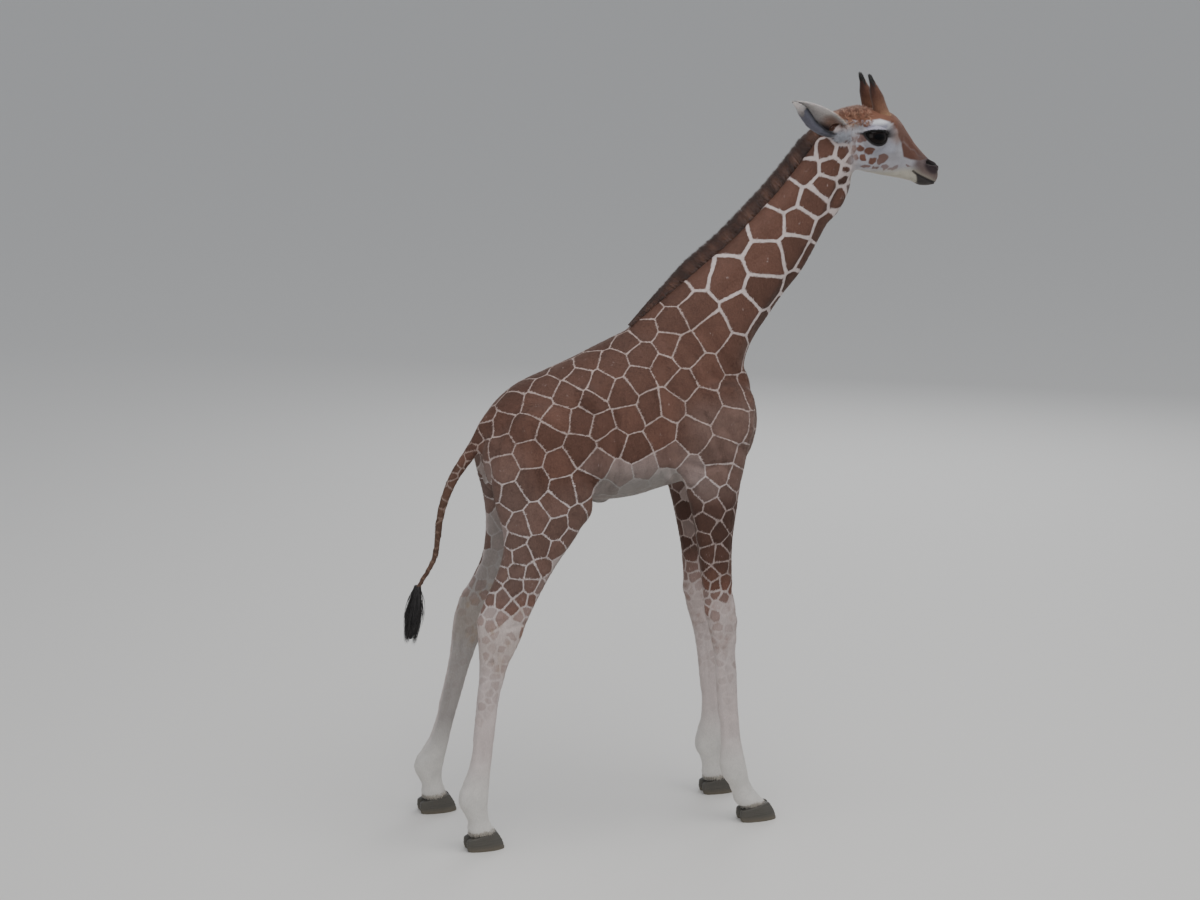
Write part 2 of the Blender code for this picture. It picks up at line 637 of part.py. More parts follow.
def ear(name, root, tip, opening):
    """A cupped leaf on the side of the head, rolled at its root and open towards the tip."""
    root, tip, opening = Vector(root), Vector(tip), Vector(opening)
    along = (tip - root).normalized()
    opening = (opening - along * opening.dot(along)).normalized()
    across = along.cross(opening)
    length = (tip - root).length
    shape = bmesh.new()
    loops = []
    for i in range(9):
        u = i / 8
        wide = EAR_WIDE * (math.sin(math.pi * min(u * 0.82 + 0.18, 1)) ** 0.62) * (1 - 0.20 * u)
        wide = max(wide, 0.0035)
        bend = 2.05 - 1.05 * u
        loop = []
        for j in range(9):
            v = (j / 8 - 0.5) * 2
            radius = wide / math.sin(min(bend, math.pi / 2))
            angle = v * bend
            at = (root + along * (length * u) + across * (radius * math.sin(angle))
                  + opening * (radius * (1 - math.cos(angle)) - radius * 0.55))
            loop.append(shape.verts.new(at))
        loops.append(loop)
    for a, b in zip(loops, loops[1:]):
        for j in range(8):
            shape.faces.new((a[j], a[j + 1], b[j + 1], b[j]))
    made = mesh_object(name, shape, giraffe)
    wall = made.modifiers.new("wall", "SOLIDIFY")
    wall.thickness = 0.0052
    wall.offset = 0
    apply_modifiers(made)
    difference(made, proud)
    return made


def horn_ring(side, share, radius):
    """A section of an ossicone at a share of the way from its root to the tip of its hair."""
    base, top = turned((0.817, side * 0.0335, 1.990)), turned((0.789, side * 0.0275, 2.107))
    along = (top - base).normalized()
    across = along.cross(Vector((0, 1, 0))).normalized()
    return ring(base.lerp(top, share), across, along.cross(across), radius * 1.04, radius, 0.5, 14, 2.0)


def ossicone(name, side):
    shape = bmesh.new()
    rows = ((0.0, 0.0190), (0.25, 0.0172), (0.50, 0.0162), (0.75, 0.0146), (0.90, 0.0115), (1.0, 0.0065))
    loft(shape, [horn_ring(side, t * 0.80, r) for t, r in rows])
    made = mesh_object(name, shape, giraffe)
    difference(made, proud)
    return made


def keep_largest(thing):
    """Drops what a trim left inside the body."""
    whole = bmesh.new()
    whole.from_mesh(thing.data)
    islands = []
    left = set(whole.verts)
    while left:
        island, queue = set(), [next(iter(left))]
        while queue:
            v = queue.pop()
            if v in island:
                continue
            island.add(v)
            queue += [e.other_vert(v) for e in v.link_edges]
        left -= island
        islands.append(island)
    islands.sort(key=len)
    small = [v for island in islands[:-1] for v in island]
    bmesh.ops.delete(whole, geom=small, context="VERTS")
    whole.to_mesh(thing.data)
    whole.free()


# The right ear is laid back, the left one stands out sideways and a little forward.
ears = [ear("ear_left", (0.6528, 0.0520, 1.977), (0.740, 0.190, 1.942), (0.55, -0.10, -0.45)),
        ear("ear_right", (0.6700, -0.0580, 1.975), (0.519, -0.112, 2.052), (-0.25, -0.80, -0.55))]
horns = [ossicone("ossicone_left", 1), ossicone("ossicone_right", -1)]

# Horn tips: a short black brush on each.
tips = []
for name, side in (("ossicone_tuft_left", 1), ("ossicone_tuft_right", -1)):
    shape = bmesh.new()
    loft(shape, [horn_ring(side, t, r) for t, r in ((0.8035, 0.0060), (0.86, 0.0075), (0.94, 0.0055), (1.0, 0.0022))])
    tips.append(mesh_object(name, shape, giraffe))

# Mane: an upright fin along the nape, from between the ears to the withers.
shape = bmesh.new()
rings = []
line = curve_through([(row[0], row[1], row[2], row[3]) for row in NECK[1:]], 2)
for i, (x, z, tx, tz) in enumerate(line):
    up = Vector((x - tx, 0, z - tz)).normalized()
    share = i / (len(line) - 1)
    tall = MANE_HEIGHT * min(1, 0.25 + 4.0 * share, 0.45 + 5.0 * (1 - share))
    foot = Vector((x, 0, z)) - up * 0.018
    rings.append(ring(foot + up * (tall + 0.018) / 2, up, Vector((0, 1, 0)), (tall + 0.018) / 2, 0.0105, 0.32, 10, 2.4))
loft(shape, rings)
mane = mesh_object("mane", shape, giraffe)
difference(mane, proud)

for thing in ears + horns + [mane]:
    keep_largest(thing)

# Part the body into its loose solids and name each from where it lies.
PLACES = {
    "head": (0.84, 0.02, 1.90), "neck": (0.46, 0.0, 1.62), "trunk": (0.05, 0.0, 1.17),
    "tail": (-0.44, 0.0, 0.92), "tail_tuft": (-0.54, 0.0, 0.64), "jaw": (0.86, 0.025, 1.84),
    "shoulder_right": (0.32, -0.12, 1.10), "shoulder_left": (0.32, 0.12, 1.10),
    "thigh_right": (-0.20, -0.12, 1.02), "thigh_left": (-0.20, 0.12, 1.02),
    "forearm_right": (0.30, -0.135, 0.78), "forearm_left": (0.32, 0.11, 0.78),
    "cannon_fore_right": (0.335, -0.142, 0.40), "cannon_fore_left": (0.355, 0.105, 0.40),
    "pastern_fore_right": (0.39, -0.142, 0.11), "pastern_fore_left": (0.37, 0.10, 0.11),
    "gaskin_right": (-0.25, -0.127, 0.74), "gaskin_left": (-0.24, 0.13, 0.74),
    "cannon_hind_right": (-0.37, -0.155, 0.39), "cannon_hind_left": (-0.39, 0.163, 0.39),
    "pastern_hind_right": (-0.41, -0.167, 0.11), "pastern_hind_left": (-0.455, 0.178, 0.11),
}
whole = bmesh.new()
whole.from_mesh(body.data)
bmesh.ops.remove_doubles(whole, verts=whole.verts, dist=0.00001)
left = set(whole.verts)
islands = []
while left:
    island, queue = set(), [next(iter(left))]
    while queue:
        v = queue.pop()
        if v in island:
            continue
        island.add(v)
        queue += [e.other_vert(v) for e in v.link_edges]
    left -= island
    islands.append(island)
flesh = {}
for island in islands:
    if len(island) < 12:
        continue
    points = np.array([v.co for v in island])
    middle = (points.min(0) + points.max(0)) / 2
    name = min(PLACES, key=lambda n: np.linalg.norm(middle - np.array(PLACES[n])))
    piece = bmesh.new()
    table = {v: piece.verts.new(v.co) for v in island}
    for face in {f for v in island for f in v.link_faces}:
        piece.faces.new([table[v] for v in face.verts])
    if name in flesh:
        print("two pieces claim", name, len(island), middle)
    flesh[name] = mesh_object(name if name not in flesh else name + "_b", piece, giraffe)
whole.free()
bpy.data.objects.remove(body, do_unlink=True)

for name, thing in flesh.items():
    shade(thing, black_hair if name == "tail_tuft" else pale if "cannon" in name or "pastern" in name else coat)
for thing in eyes.values():
    shade(thing, eye_dark)
for thing in hooves:
    shade(thing, horn)
for thing in horns:
    shade(thing, horn_skin)
for thing in tips:
    shade(thing, black_hair)
for thing in ears:
    shade(thing, pale)
shade(mane, mane_hair)

# Everything stands on one empty, which carries the shift to the frame's origin.
stance = bpy.data.objects.new("stance", None)
giraffe.objects.link(stance)
stance.location = (-ORIGIN_X, -ORIGIN_Y, 0)
for thing in list(giraffe.objects):
    if thing is not stance:
        thing.parent = stance
for thing in list(cutters.objects):
    as_cutter(thing).parent = stance
bpy.context.view_layer.update()
low = np.array([(t.matrix_world @ Vector(c)) for t in giraffe.objects if t.type == "MESH" for c in t.bound_box])
print("box", low.min(0).round(4), low.max(0).round(4), "middle", ((low.min(0) + low.max(0)) / 2).round(4))
print({t.name: len(t.data.polygons) for t in giraffe.objects if t.type == "MESH"})
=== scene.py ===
# %% [markdown]
# # A young reticulated giraffe, life size
#
# The animal stands on its four hooves as a museum model would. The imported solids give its
# size and stance. This lesson puts one continuous skin over them, paints the net of pale lines
# with a field that skin and hair share, and grows hair as small closed locks of mesh.

# %% Load the fixed frame
import json
import math

import bmesh
import bpy
import numpy as np
from mathutils import Matrix, Vector

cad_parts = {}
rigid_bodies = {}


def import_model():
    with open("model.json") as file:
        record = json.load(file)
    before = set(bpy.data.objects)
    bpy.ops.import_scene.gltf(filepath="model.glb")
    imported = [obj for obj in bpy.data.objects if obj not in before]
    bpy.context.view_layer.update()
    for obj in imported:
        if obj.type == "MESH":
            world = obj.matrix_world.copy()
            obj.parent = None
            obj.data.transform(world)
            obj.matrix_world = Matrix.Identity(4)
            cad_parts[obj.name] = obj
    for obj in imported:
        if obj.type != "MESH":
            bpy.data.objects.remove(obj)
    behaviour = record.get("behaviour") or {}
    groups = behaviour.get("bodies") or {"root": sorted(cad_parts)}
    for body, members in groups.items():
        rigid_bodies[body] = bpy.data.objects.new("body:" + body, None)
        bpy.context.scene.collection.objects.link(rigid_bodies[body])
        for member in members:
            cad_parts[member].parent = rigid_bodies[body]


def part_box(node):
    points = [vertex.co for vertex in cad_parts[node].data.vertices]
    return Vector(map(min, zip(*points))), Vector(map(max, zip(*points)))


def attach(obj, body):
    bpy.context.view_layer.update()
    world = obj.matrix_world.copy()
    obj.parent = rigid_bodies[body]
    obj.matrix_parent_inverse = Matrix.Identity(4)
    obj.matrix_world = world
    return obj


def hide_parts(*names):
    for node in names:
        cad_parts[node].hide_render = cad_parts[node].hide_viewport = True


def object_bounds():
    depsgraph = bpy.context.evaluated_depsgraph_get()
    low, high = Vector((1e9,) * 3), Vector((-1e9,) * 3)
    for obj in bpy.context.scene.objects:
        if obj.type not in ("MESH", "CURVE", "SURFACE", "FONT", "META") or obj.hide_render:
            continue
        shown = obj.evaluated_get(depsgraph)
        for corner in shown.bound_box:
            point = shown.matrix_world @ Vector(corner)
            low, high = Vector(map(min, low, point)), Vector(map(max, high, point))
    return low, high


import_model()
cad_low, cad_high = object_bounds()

print("solid model from", tuple(round(v, 3) for v in cad_low), "to", tuple(round(v, 3) for v in cad_high))

# %% [markdown]
# ## Floor, light and camera
# A plain pale floor and large soft lights stand in for an overcast day. The camera looks at the
# animal's right side from a little ahead and above.

# %% Camera
middle = (cad_low + cad_high) / 2
look_at = Vector((middle.x - 0.2202, middle.y - 0.0055, 1.08))
CAMERA_TURN, CAMERA_LIFT, CAMERA_AWAY = math.radians(-16), math.radians(13), 9.0
back = Vector((math.sin(CAMERA_TURN) * math.cos(CAMERA_LIFT),
               -math.cos(CAMERA_TURN) * math.cos(CAMERA_LIFT), math.sin(CAMERA_LIFT)))
lens = bpy.data.cameras.new("camera")
lens.lens, lens.sensor_width = 96.39, 36.0
camera = bpy.data.objects.new("camera", lens)
camera.location = look_at + back * CAMERA_AWAY
camera.rotation_mode = "QUATERNION"
camera.rotation_quaternion = (-back).to_track_quat("-Z", "Y")
bpy.context.scene.collection.objects.link(camera)
bpy.context.scene.camera = camera
print("camera at", tuple(round(v, 2) for v in camera.location))


# %% Soft light
def soft_light(name, place, aim, size, watts, colour):
    """A square area light that faces a point."""
    lamp = bpy.data.lights.new(name, "AREA")
    lamp.shape, lamp.size, lamp.energy, lamp.color = "SQUARE", size, watts, colour
    made = bpy.data.objects.new(name, lamp)
    made.location = place
    made.rotation_mode = "QUATERNION"
    made.rotation_quaternion = (Vector(place) - Vector(aim)).to_track_quat("Z", "Y")
    bpy.context.scene.collection.objects.link(made)


soft_light("sky_panel", (0.4, -1.2, 5.2), (0.0, 0.0, 0.9), 4.5, 165, (1.0, 0.99, 0.975))
soft_light("camera_side", (-2.6, -5.0, 2.8), (0.0, 0.0, 1.1), 3.0, 46, (1.0, 0.985, 0.965))
soft_light("far_side", (2.5, 4.5, 3.0), (0.0, 0.0, 1.2), 3.0, 70, (0.94, 0.97, 1.0))
world = bpy.data.worlds.new("studio")
world.use_nodes = True
sky = next(n for n in world.node_tree.nodes if n.type == "BACKGROUND")
sky.inputs["Color"].default_value = (0.80, 0.84, 0.90, 1)
sky.inputs["Strength"].default_value = 0.56
bpy.context.scene.world = world


# %% Node helpers
def new_material(name, **settings):
    """A Principled material with plain values on its own sockets."""
    made = bpy.data.materials.new(name)
    made.use_nodes = True
    shader = next(n for n in made.node_tree.nodes if n.type == "BSDF_PRINCIPLED")
    for key, value in settings.items():
        shader.inputs[key.replace("_", " ")].default_value = value
    return made, made.node_tree, shader


def node(tree, kind, **settings):
    made = tree.nodes.new(kind)
    for key, value in settings.items():
        setattr(made, key, value)
    return made


def wire(tree, source, target):
    """Joins two sockets, or sets the target when the source is a plain number or colour."""
    if isinstance(source, bpy.types.NodeSocket):
        tree.links.new(source, target)
    else:
        target.default_value = source


def maths(tree, operation, a, b=0.0, c=None, clamp=False):
    made = node(tree, "ShaderNodeMath", operation=operation, use_clamp=clamp)
    wire(tree, a, made.inputs[0])
    wire(tree, b, made.inputs[1])
    if c is not None:
        wire(tree, c, made.inputs[2])
    return made.outputs[0]


def mixed(tree, share, a, b, kind="MIX"):
    """Mixes two colours by a share."""
    made = node(tree, "ShaderNodeMix", data_type="RGBA", blend_type=kind)
    wire(tree, share, made.inputs[0])
    wire(tree, a, made.inputs[6])
    wire(tree, b, made.inputs[7])
    return made.outputs[2]


def noise(tree, vector, scale, detail=2.0, rough=0.5, distortion=0.0):
    made = node(tree, "ShaderNodeTexNoise")
    wire(tree, vector, made.inputs["Vector"])
    for key, value in (("Scale", scale), ("Detail", detail), ("Roughness", rough), ("Distortion", distortion)):
        made.inputs[key].default_value = value
    return made.outputs["Fac"]


def ranged(tree, value, low, high, to_low=0.0, to_high=1.0, smooth=True):
    made = node(tree, "ShaderNodeMapRange", interpolation_type="SMOOTHSTEP" if smooth else "LINEAR")
    for slot, source in zip(("Value", "From Min", "From Max", "To Min", "To Max"),
                            (value, low, high, to_low, to_high)):
        wire(tree, source, made.inputs[slot])
    return made.outputs["Result"]


def stretched(tree, x, y, z):
    """Object coordinates scaled along each axis."""
    place = node(tree, "ShaderNodeTexCoord").outputs["Object"]
    made = node(tree, "ShaderNodeMapping")
    wire(tree, place, made.inputs["Vector"])
    made.inputs["Scale"].default_value = (x, y, z)
    return made.outputs["Vector"]


def attribute(tree, name):
    return node(tree, "ShaderNodeAttribute", attribute_name=name, attribute_type="GEOMETRY")


def node_group(name, inputs, outputs):
    """An empty shader group with named sockets."""
    made = bpy.data.node_groups.new(name, "ShaderNodeTree")
    for title, kind, value in inputs:
        socket = made.interface.new_socket(title, in_out="INPUT", socket_type=kind)
        socket.default_value = value
    for title, kind in outputs:
        made.interface.new_socket(title, in_out="OUTPUT", socket_type=kind)
    return made, node(made, "NodeGroupInput"), node(made, "NodeGroupOutput")


FLOAT, COLOUR, NORMAL = "NodeSocketFloat", "NodeSocketColor", "NodeSocketVector"

# %% Floor
bm = bmesh.new()
bmesh.ops.create_grid(bm, x_segments=1, y_segments=1, size=40.0)
floor_mesh = bpy.data.meshes.new("floor")
bm.to_mesh(floor_mesh)
bm.free()
floor = bpy.data.objects.new("floor", floor_mesh)
bpy.context.scene.collection.objects.link(floor)
plain, tree, shader = new_material("pale_floor", Roughness=0.85)
shader.inputs["Base Color"].default_value = (0.72, 0.70, 0.67, 1)
floor_mesh.materials.append(plain)
print("floor laid")

# %% [markdown]
# ## The form of the body
# The skin is lofted from named sections, the same stance as the solids: trunk, neck, skull, jaw,
# four legs and tail, with swells for the muscles. A voxel remesh joins them, and smoothing that
# keeps the volume melts the joints. The numbers are in a working frame with x forward from the
# middle of the trunk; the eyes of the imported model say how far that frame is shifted.

# %% Sizes of the body
COAT_DEPTH = 0.0024        # how far the skin lies inside the outline
VOXEL = 0.0088
EYE_AT = (0.7815, 0.0600, 1.9365)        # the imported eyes
BALL_AT, BALL_RADIUS = (0.7770, 0.0485, 1.9380), 0.0400
HEAD_TURN = math.radians(8.0)
HEAD_PIVOT = Vector((0.680, 0.0, 1.93))
CORONET_FRONT, CORONET_HEEL = 0.050, 0.033
HOOF_LENGTH, HOOF_WIDTH, CLEFT = 0.106, 0.068, 0.0045

# Trunk: x, top, bottom, half width, height of the widest point
TRUNK = (
    (-0.343, 1.165, 1.030, 0.028, 0.50), (-0.328, 1.200, 0.995, 0.055, 0.48),
    (-0.293, 1.243, 0.972, 0.086, 0.46), (-0.235, 1.285, 0.960, 0.120, 0.45),
    (-0.155, 1.318, 0.955, 0.1395, 0.44), (-0.075, 1.350, 0.948, 0.146, 0.42),
    (0.005, 1.386, 0.942, 0.1552, 0.40), (0.085, 1.420, 0.948, 0.1552, 0.37),
    (0.160, 1.445, 0.966, 0.149, 0.35), (0.240, 1.432, 0.981, 0.13775, 0.34),
    (0.320, 1.375, 0.985, 0.1276, 0.38), (0.385, 1.315, 1.003, 0.102, 0.42),
    (0.428, 1.255, 1.045, 0.076, 0.46), (0.452, 1.195, 1.105, 0.042, 0.50),
)
# Neck, skull and jaw: upper line x, z; lower line x, z; half width; widest point
NECK = (
    (0.020, 1.360, 0.330, 1.090, 0.100, 0.40), (0.085, 1.428, 0.405, 1.225, 0.102, 0.38),
    (0.150, 1.482, 0.420, 1.318, 0.095, 0.38), (0.215, 1.533, 0.442, 1.372, 0.083, 0.40),
    (0.290, 1.592, 0.483, 1.430, 0.070, 0.42), (0.371, 1.656, 0.532, 1.496, 0.060, 0.44),
    (0.458, 1.739, 0.588, 1.562, 0.0535, 0.45), (0.516, 1.799, 0.632, 1.636, 0.0500, 0.47),
    (0.574, 1.867, 0.677, 1.718, 0.0480, 0.50), (0.622, 1.928, 0.712, 1.792, 0.0490, 0.54),
    (0.660, 1.972, 0.745, 1.842, 0.0500, 0.56),
)
SKULL = (
    (0.655, 1.972, 0.705, 1.858, 0.036, 0.62), (0.668, 1.992, 0.722, 1.842, 0.053, 0.64),
    (0.705, 2.006, 0.742, 1.838, 0.063, 0.64), (0.757, 2.014, 0.768, 1.836, 0.072, 0.66),
    (0.808, 2.012, 0.795, 1.830, 0.076, 0.66), (0.848, 2.002, 0.820, 1.824, 0.070, 0.66),
    (0.876, 1.982, 0.846, 1.820, 0.058, 0.64), (0.902, 1.949, 0.874, 1.817, 0.047, 0.60),
    (0.931, 1.912, 0.903, 1.816, 0.0395, 0.58), (0.957, 1.884, 0.932, 1.812, 0.0370, 0.56),
    (0.980, 1.862, 0.962, 1.800, 0.0385, 0.50), (1.000, 1.840, 0.986, 1.791, 0.0360, 0.48),
    (1.011, 1.820, 1.003, 1.792, 0.0240, 0.50),
)
JAW = (
    (0.735, 1.905, 0.738, 1.846, 0.036), (0.780, 1.892, 0.770, 1.834, 0.041),
    (0.840, 1.868, 0.828, 1.820, 0.036), (0.895, 1.842, 0.884, 1.808, 0.029),
    (0.940, 1.818, 0.930, 1.796, 0.025), (0.968, 1.808, 0.958, 1.782, 0.026),
    (0.988, 1.800, 0.982, 1.784, 0.020),
)
# Legs: height, front x, rear x, distance of the middle from the midline, half width
LEGS = {
    "fore_right": (-1, (
        (1.270, 0.385, 0.190, 0.078, 0.046), (1.170, 0.425, 0.195, 0.095, 0.052),
        (1.070, 0.400, 0.190, 0.108, 0.053), (0.990, 0.377, 0.210, 0.120, 0.047),
        (0.905, 0.361, 0.230, 0.129, 0.042), (0.820, 0.348, 0.243, 0.135, 0.038),
        (0.740, 0.346, 0.253, 0.139, 0.0345), (0.665, 0.352, 0.262, 0.141, 0.0335),
        (0.610, 0.3595, 0.270, 0.142, 0.0355), (0.560, 0.3605, 0.281, 0.142, 0.0330),
        (0.500, 0.3610, 0.293, 0.142, 0.0265), (0.420, 0.364, 0.299, 0.142, 0.0235),
        (0.310, 0.3705, 0.308, 0.142, 0.0235), (0.240, 0.378, 0.312, 0.142, 0.0260),
        (0.180, 0.390, 0.315, 0.142, 0.0305), (0.140, 0.399, 0.323, 0.142, 0.0310),
        (0.105, 0.413, 0.336, 0.142, 0.0300), (0.075, 0.432, 0.350, 0.143, 0.0305),
        (0.045, 0.458, 0.366, 0.143, 0.0325))),
    "fore_left": (1, (
        (1.270, 0.385, 0.190, 0.078, 0.046), (1.170, 0.425, 0.195, 0.095, 0.052),
        (1.070, 0.400, 0.190, 0.106, 0.053), (0.990, 0.380, 0.218, 0.114, 0.047),
        (0.905, 0.372, 0.243, 0.117, 0.042), (0.820, 0.369, 0.263, 0.118, 0.038),
        (0.740, 0.370, 0.277, 0.118, 0.0345), (0.665, 0.374, 0.283, 0.118, 0.0335),
        (0.610, 0.379, 0.287, 0.118, 0.0355), (0.560, 0.381, 0.297, 0.118, 0.0330),
        (0.500, 0.383, 0.314, 0.118, 0.0265), (0.420, 0.390, 0.327, 0.118, 0.0235),
        (0.310, 0.399, 0.337, 0.118, 0.0235), (0.240, 0.404, 0.337, 0.118, 0.0260),
        (0.180, 0.405, 0.328, 0.118, 0.0305), (0.140, 0.405, 0.325, 0.118, 0.0310),
        (0.105, 0.409, 0.333, 0.118, 0.0300), (0.075, 0.415, 0.342, 0.118, 0.0305),
        (0.045, 0.433, 0.347, 0.118, 0.0325))),
    "hind_right": (-1, (
        (1.215, -0.060, -0.275, 0.072, 0.045), (1.130, -0.052, -0.320, 0.086, 0.054),
        (1.045, -0.056, -0.341, 0.099, 0.057), (0.970, -0.062, -0.333, 0.109, 0.056),
        (0.910, -0.078, -0.318, 0.117, 0.051), (0.860, -0.108, -0.312, 0.121, 0.046),
        (0.810, -0.147, -0.321, 0.124, 0.041), (0.760, -0.181, -0.341, 0.127, 0.037),
        (0.705, -0.213, -0.370, 0.130, 0.033), (0.655, -0.239, -0.389, 0.134, 0.031),
        (0.605, -0.263, -0.393, 0.138, 0.0325), (0.550, -0.289, -0.390, 0.143, 0.0300),
        (0.490, -0.314, -0.392, 0.148, 0.0260), (0.430, -0.333, -0.400, 0.152, 0.0238),
        (0.340, -0.347, -0.411, 0.158, 0.0232), (0.260, -0.358, -0.424, 0.162, 0.0250),
        (0.205, -0.366, -0.440, 0.165, 0.0290), (0.155, -0.371, -0.454, 0.167, 0.0310),
        (0.115, -0.370, -0.453, 0.168, 0.0300), (0.078, -0.366, -0.436, 0.168, 0.0300),
        (0.045, -0.348, -0.431, 0.168, 0.0325))),
    "hind_left": (1, (
        (1.215, -0.060, -0.275, 0.072, 0.045), (1.130, -0.052, -0.320, 0.086, 0.054),
        (1.045, -0.055, -0.336, 0.099, 0.057), (0.970, -0.062, -0.318, 0.110, 0.056),
        (0.910, -0.084, -0.306, 0.119, 0.051), (0.860, -0.116, -0.302, 0.124, 0.046),
        (0.810, -0.150, -0.304, 0.128, 0.041), (0.760, -0.180, -0.313, 0.132, 0.037),
        (0.705, -0.207, -0.337, 0.137, 0.033), (0.655, -0.229, -0.366, 0.141, 0.031),
        (0.605, -0.256, -0.387, 0.146, 0.0325), (0.550, -0.290, -0.396, 0.151, 0.0300),
        (0.490, -0.321, -0.401, 0.156, 0.0260), (0.430, -0.343, -0.410, 0.161, 0.0238),
        (0.340, -0.368, -0.430, 0.167, 0.0232), (0.260, -0.391, -0.452, 0.171, 0.0250),
        (0.205, -0.404, -0.473, 0.174, 0.0290), (0.155, -0.416, -0.500, 0.176, 0.0310),
        (0.115, -0.420, -0.505, 0.178, 0.0300), (0.078, -0.418, -0.488, 0.179, 0.0300),
        (0.045, -0.408, -0.484, 0.179, 0.0325))),
}
# Feet: side, heel x, middle y
FEET = {"fore_right": (-1, 0.374, 0.143), "fore_left": (1, 0.345, 0.118),
        "hind_right": (-1, -0.436, 0.168), "hind_left": (1, -0.490, 0.179)}
# Tail: x, z, radius
TAIL = (
    (-0.285, 1.205, 0.034), (-0.322, 1.165, 0.030), (-0.352, 1.122, 0.0235), (-0.388, 1.076, 0.0190),
    (-0.420, 1.030, 0.0165), (-0.444, 0.978, 0.0145), (-0.461, 0.920, 0.0130), (-0.469, 0.860, 0.0118),
    (-0.476, 0.812, 0.0108), (-0.492, 0.776, 0.0100), (-0.513, 0.744, 0.0095), (-0.526, 0.718, 0.0095),
    (-0.533, 0.690, 0.0080),
)
# Swells over the lofts: centre on the left side, radii, pitch in degrees
SWELLS = (
    ((0.245, 0.084, 1.255), (0.062, 0.032, 0.120), 22),    # shoulder blade
    ((0.368, 0.082, 1.175), (0.060, 0.042, 0.090), 18),    # point of the shoulder
    ((0.268, 0.106, 1.090), (0.075, 0.042, 0.078), 30),    # triceps
    ((0.388, 0.040, 1.100), (0.050, 0.040, 0.066), 0),     # breast muscle
    ((0.375, 0.042, 1.260), (0.050, 0.040, 0.090), -20),   # neck muscle over the breast
    ((-0.060, 0.098, 1.240), (0.052, 0.036, 0.050), 0),    # point of the hip
    ((-0.190, 0.098, 1.140), (0.105, 0.044, 0.105), 20),   # rump muscle
    ((-0.115, 0.120, 0.975), (0.060, 0.042, 0.085), -12),  # thigh over the stifle
)
print(len(TRUNK), "trunk sections,", len(LEGS), "legs,", len(SWELLS), "swells a side")


# %% Lofting helpers
def curve_through(rows, per_span):
    """Rows of numbers read from a smooth curve through the given rows."""
    rows = np.array(rows, float)
    ends = np.vstack([2 * rows[0] - rows[1], rows, 2 * rows[-1] - rows[-2]])
    out = []
    for i in range(1, len(ends) - 2):
        a, b, c, d = ends[i - 1: i + 3]
        for j in range(per_span):
            t = j / per_span
            out.append(0.5 * (2 * b + (c - a) * t + (2 * a - 5 * b + 4 * c - d) * t * t
                              + (3 * b - a - 3 * c + d) * t ** 3))
    out.append(rows[-1])
    return np.array(out)


def ring(middle, up, side, half_up, half_side, widest, sides=28, square=2.25):
    """A closed section: half_up along up, half_side along side, widest at a share of the height."""
    points = []
    shift = (widest - 0.5) * 2
    for k in range(sides):
        angle = 2 * math.pi * k / sides
        c, s = math.cos(angle), math.sin(angle)
        c = math.copysign(abs(c) ** (2 / square), c)
        s = math.copysign(abs(s) ** (2 / square), s)
        bias = s * (1 + 0.90 * shift * c)
        points.append(middle + up * half_up * (c + 0.16 * shift * (1 - c * c)) + side * half_side * bias)
    return points


def loft(bm, rings):
    """A closed tube: the first section is a circle of edges, and each further one is extruded from the last."""
    rings = list(rings)
    circle = bmesh.ops.create_circle(bm, cap_ends=False, segments=len(rings[0]), radius=1.0)["verts"]
    circle.sort(key=lambda v: v.index)
    first = list(circle)
    edges = list({e for v in circle for e in v.link_edges})
    for v, p in zip(circle, rings[0]):
        v.co = p
    for points in rings[1:]:
        pushed = bmesh.ops.extrude_edge_only(bm, edges=edges)["geom"]
        fresh = {e for e in pushed if isinstance(e, bmesh.types.BMEdge)}
        born = {v for v in pushed if isinstance(v, bmesh.types.BMVert)}
        following = []
        for v in circle:
            following.append(next(e.other_vert(v) for e in v.link_edges
                                  if e.other_vert(v) in born and e not in fresh))
        for v, p in zip(following, points):
            v.co = p
        circle, edges = following, list(fresh)
    bm.faces.new(first[::-1])
    bm.faces.new(circle)


def paired_rings(rows, sides=28, square=2.25):
    for row in curve_through(rows, 4):
        top, low = Vector((row[0], 0, row[1])), Vector((row[2], 0, row[3]))
        widest = row[5] if len(row) > 5 else 0.5
        yield ring((top + low) / 2, (top - low).normalized(), Vector((0, 1, 0)),
                   (top - low).length / 2, max(row[4], 0.003), widest, sides, square)


def trunk_rings():
    for x, top, low, half, widest in curve_through(TRUNK, 4):
        yield ring(Vector((x, 0, (top + low) / 2)), Vector((0, 0, 1)), Vector((0, 1, 0)),
                   (top - low) / 2, max(half, 0.01), widest, 36, 2.2)


def leg_rings(rows, side):
    for z, front, rear, out, half in curve_through(rows, 3):
        yield ring(Vector(((front + rear) / 2, side * out, z)), Vector((1, 0, 0)), Vector((0, 1, 0)),
                   (front - rear) / 2, half, 0.5, 22, 2.1 + 0.25 * min(max((1.0 - z) * 4, 0), 1))


def tail_rings(rows, flat=1.0):
    path = curve_through([(x, 0, z, r) for x, z, r in rows], 4)
    for i, (x, y, z, r) in enumerate(path):
        a, b = path[max(i - 1, 0)], path[min(i + 1, len(path) - 1)]
        along = Vector((b[0] - a[0], 0, b[2] - a[2])).normalized()
        yield ring(Vector((x, 0, z)), Vector((-along.z, 0, along.x)), Vector((0, 1, 0)), r, r * flat, 0.5, 16, 2.0)


def add_swell(bm, centre, radii, pitch):
    made = bmesh.ops.create_icosphere(bm, subdivisions=3, radius=1.0)
    place = (Matrix.Translation(centre) @ Matrix.Rotation(math.radians(pitch), 4, "Y")
             @ Matrix.Diagonal((*radii, 1)))
    bmesh.ops.transform(bm, matrix=place, verts=made["verts"])


